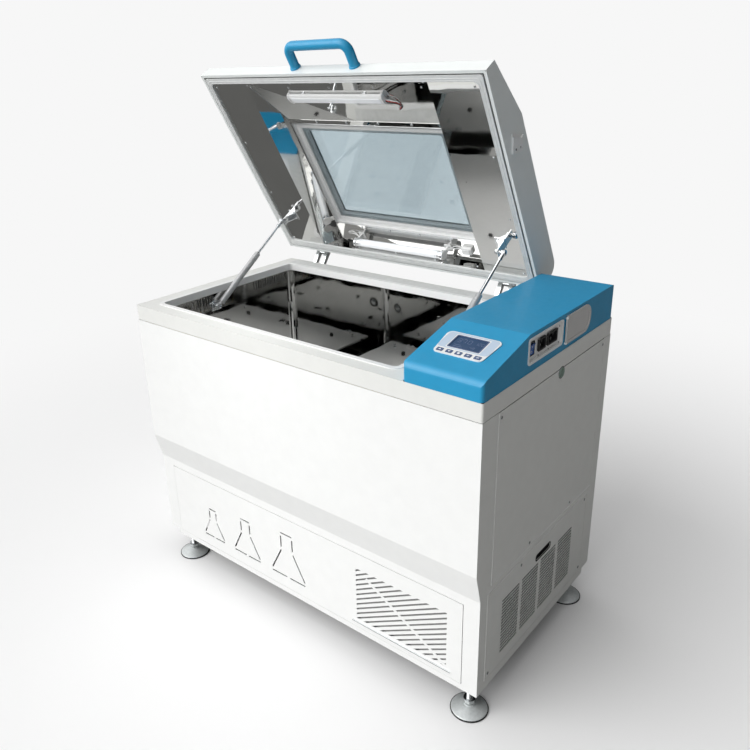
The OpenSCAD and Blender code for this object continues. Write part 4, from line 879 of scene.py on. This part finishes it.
piece("rocker_marks", [(off_ring, place(6.4, 0, -7) @ Matrix.Rotation(-rocker_slope + QUARTER, 4, "Y")),
                       (on_bar, place(6.4, 0, 7) @ Matrix.Rotation(rocker_slope + QUARTER, 4, "Y"))],
      "white_plastic", (ROCKER, "rocker"), mark)
piece("rocker_bezel", [(rim((201, 927, 229, 961), 2.5, 1.6, 1.6, face_x - 5, face_x - 2.6), on_yz())],
      "black_plastic", bevel=0.4)
pull = prism([(0, -11), (3.2, -8), (3.2, 8), (0, 11)], 0, 1.6)
piece("cover_pull", [(pull, on_yz(face_x + 3.3, 512, 939.5))],
      "smoked_cover", (CAB, "socket_cover"), bevel=0.4)
lug = ring([(3.6, 0), (3.6, 4), (2.4, 4), (2.4, 0)], 24)
piece("cover_hinge_lugs", [(lug, place(1202, 381, z)) for z in (905.5, 969.5)], "white_plastic")
piece("cover_well_line", [(rim((391, 910, 520, 969), 22, 1.2, 21, face_x, face_x + 0.5), on_yz())],
      "blue_plastic")
# black strips on the console's back face: painted shade of its vent slots
vent_shade_strip = prism(round_rect_at(0, 0, 80, 3.2, 1.5, 4), 0, 0.5)
piece("console_vent_shade_strips", [(vent_shade_strip, place(console_near.x + 102, 677.8, z, "+y"))
                        for z in range(912, 953, 10)], "black_plastic")
# parts on the circuit board: X and Y of the near corner, width, depth, height
board_z = deck_z + 15.1
chips = ((100, 400, 24, 24, 9), (130, 410, 12, 30, 14), (100, 440, 40, 10, 18), (110, 470, 16, 16, 22),
         (140, 480, 10, 40, 7), (40, 490, 60, 30, 12), (44, 530, 18, 18, 26))
piece("board_parts", [(block((0, 0, 0), (w, d, h)), place(console_near.x + x, y, board_z))
                      for x, y, w, d, h in chips], "black_plastic", bevel=0.8)

# ------------ feet
feet = [(x, y) for x in (73, 1165) for y in (49.5, 605)]
ON_FEET = (CAB, "feet")
pad = ring([(48.5, 0.2), (49.2, 0.8), (49.2, 3.4), (48.4, 4.2), (46.4, 4.2), (46.4, 0.2)])
piece("foot_pads", [(pad, place(x, y, 0)) for x, y in feet], "black_rubber", ON_FEET)
thread = ring([(8.0, 0), (8.55, 1.0), (8.0, 2.0)], 28)
piece("foot_threads", [(thread, place(x, y, z)) for x, y in feet for z in range(36, 66, 2)],
      "plated_steel", ON_FEET)
washer = ring([(15.5, 0), (15.5, 1.6), (8.3, 1.6), (8.3, 0)])
piece("foot_washers", [(washer, place(x, y, z)) for x, y in feet for z in (35.1, 65.2)],
      "plated_steel", ON_FEET)

# ------------ studio
BACKDROP = (0.93, 0.93, 0.93, 1)


def seen_directly(tree):
    """1 for camera rays and for rays that passed through the window, else 0."""
    rays = shader(tree, "ShaderNodeLightPath", {}).outputs
    return shader(tree, "ShaderNodeMath", {0: rays["Is Camera Ray"], 1: rays["Is Transmission Ray"]},
                  operation="MAXIMUM").outputs["Value"]


# the floor is pale to the eye, dimmer as a source of bounced light and dark in the mirror steel
floor_mat = bpy.data.materials.new("pale studio floor")
floor_mat.use_nodes = True
tree = floor_mat.node_tree
bsdf = tree.nodes["Principled BSDF"]
mirrored = shader(tree, "ShaderNodeLightPath", {}).outputs["Is Glossy Ray"]
dimmed = mixed(tree, (0.5, 0.5, 0.5, 1), (0.15, 0.15, 0.145, 1), mirrored)
tone = mixed(tree, dimmed, (0.90, 0.90, 0.90, 1), seen_directly(tree))
feed(tree, bsdf, {"Base Color": tone, "Roughness": 0.8, "Specular IOR Level": 0.1})

# and it fades into the backdrop with distance, in metres from the machine
where = shader(tree, "ShaderNodeTexCoord", {}).outputs["Object"]
reach = shader(tree, "ShaderNodeVectorMath", {0: where}, operation="LENGTH").outputs["Value"]
fade = shader(tree, "ShaderNodeMapRange", {"From Min": 1.0, "From Max": 3.2, "Value": reach},
              interpolation_type="SMOOTHSTEP").outputs["Result"]
far = shader(tree, "ShaderNodeMath", {0: fade, 1: seen_directly(tree)}, operation="MULTIPLY")
glow = shader(tree, "ShaderNodeEmission", {"Color": BACKDROP})
blend = shader(tree, "ShaderNodeMixShader", {"Fac": far.outputs["Value"], 1: bsdf.outputs["BSDF"],
                                             2: glow.outputs["Emission"]})
feed(tree, tree.nodes["Material Output"], {"Surface": blend.outputs["Shader"]})

REACH = 14
corners = [(-REACH, -REACH, 0), (REACH, -REACH, 0), (REACH, REACH, 0), (-REACH, REACH, 0)]
floor_mesh = bpy.data.meshes.new("floor")
floor_mesh.from_pydata(corners, [], [(0, 1, 2, 3)])
floor_mesh.materials.append(floor_mat)
ground = bpy.data.objects.new("floor", floor_mesh)
bpy.context.scene.collection.objects.link(ground)

# a soft light that comes from the front left and above; the backdrop itself is even
world = bpy.data.worlds.new("studio")
bpy.context.scene.world = world
world.use_nodes = True
tree = world.node_tree
where = shader(tree, "ShaderNodeTexCoord", {}).outputs["Generated"]
brightest = Vector((-0.62, -0.55, 0.56)).normalized()
towards = shader(tree, "ShaderNodeVectorMath", {0: where, 1: brightest},
                 operation="DOT_PRODUCT").outputs["Value"]
half = shader(tree, "ShaderNodeMath", {0: towards, 1: 0.5, 2: 0.5}, operation="MULTIPLY_ADD")
ramp = shader(tree, "ShaderNodeValToRGB", {"Fac": half.outputs["Value"]})
stops = ramp.color_ramp.elements
stops[0].color, stops[1].color = (0.03, 0.03, 0.03, 1), (1.0, 1.0, 1.0, 1)
for at, level in ((0.35, 0.05), (0.5, 0.15), (0.62, 0.45), (0.8, 0.95)):
    stops.new(at).color = (level, level, level, 1)
pale = mixed(tree, ramp.outputs["Color"], BACKDROP, seen_directly(tree))
feed(tree, tree.nodes["Background"], {"Color": pale})


def light(name, kind, aim, **settings):
    """A lamp that shines along aim."""
    lamp = bpy.data.lights.new(name, kind)
    for key, value in settings.items():
        setattr(lamp, key, value)
    ob = bpy.data.objects.new(name, lamp)
    bpy.context.scene.collection.objects.link(ob)
    ob.rotation_mode = "QUATERNION"
    ob.rotation_quaternion = aim.to_track_quat("-Z", "Y")
    return ob


light("key", "SUN", Vector((0.42, 0.76, -0.50)), energy=2.1, angle=math.radians(60))
spot_from, spot_at = Vector((-0.25, -0.95, 2.6)), Vector((-0.11, -0.03, 0.5))
spot = light("chamber_light", "SPOT", spot_at - spot_from, energy=55, spot_size=math.radians(26),
             spot_blend=0.6, shadow_soft_size=0.25)
spot.location = spot_from

# camera: the same pinhole that was fitted to the cabinet's corners
lens = bpy.data.cameras.new("camera")
lens.sensor_width, lens.lens = 36.0, 36.035
lens.shift_x, lens.shift_y = 0.03967, -0.02529
lens.clip_start, lens.clip_end = 0.05, 60
camera = bpy.data.objects.new("camera", lens)
bpy.context.scene.collection.objects.link(camera)
eye = CAB @ Vector((1900.08, -1244.96, 1561.62))
yaw, pitch, roll = math.radians(40.71), math.radians(-21.56), math.radians(-2.0)
ahead = Vector((-math.sin(yaw) * math.cos(pitch), math.cos(yaw) * math.cos(pitch), math.sin(pitch)))
across = Vector((math.cos(yaw), math.sin(yaw), 0))
upward = across.cross(ahead)
right = across * math.cos(roll) + upward * math.sin(roll)
upright = upward * math.cos(roll) - across * math.sin(roll)
camera.matrix_world = Matrix.Translation(eye) @ Matrix((right, upright, -ahead)).transposed().to_4x4()
bpy.context.scene.camera = camera
bpy.context.scene.view_settings.view_transform = "Standard"
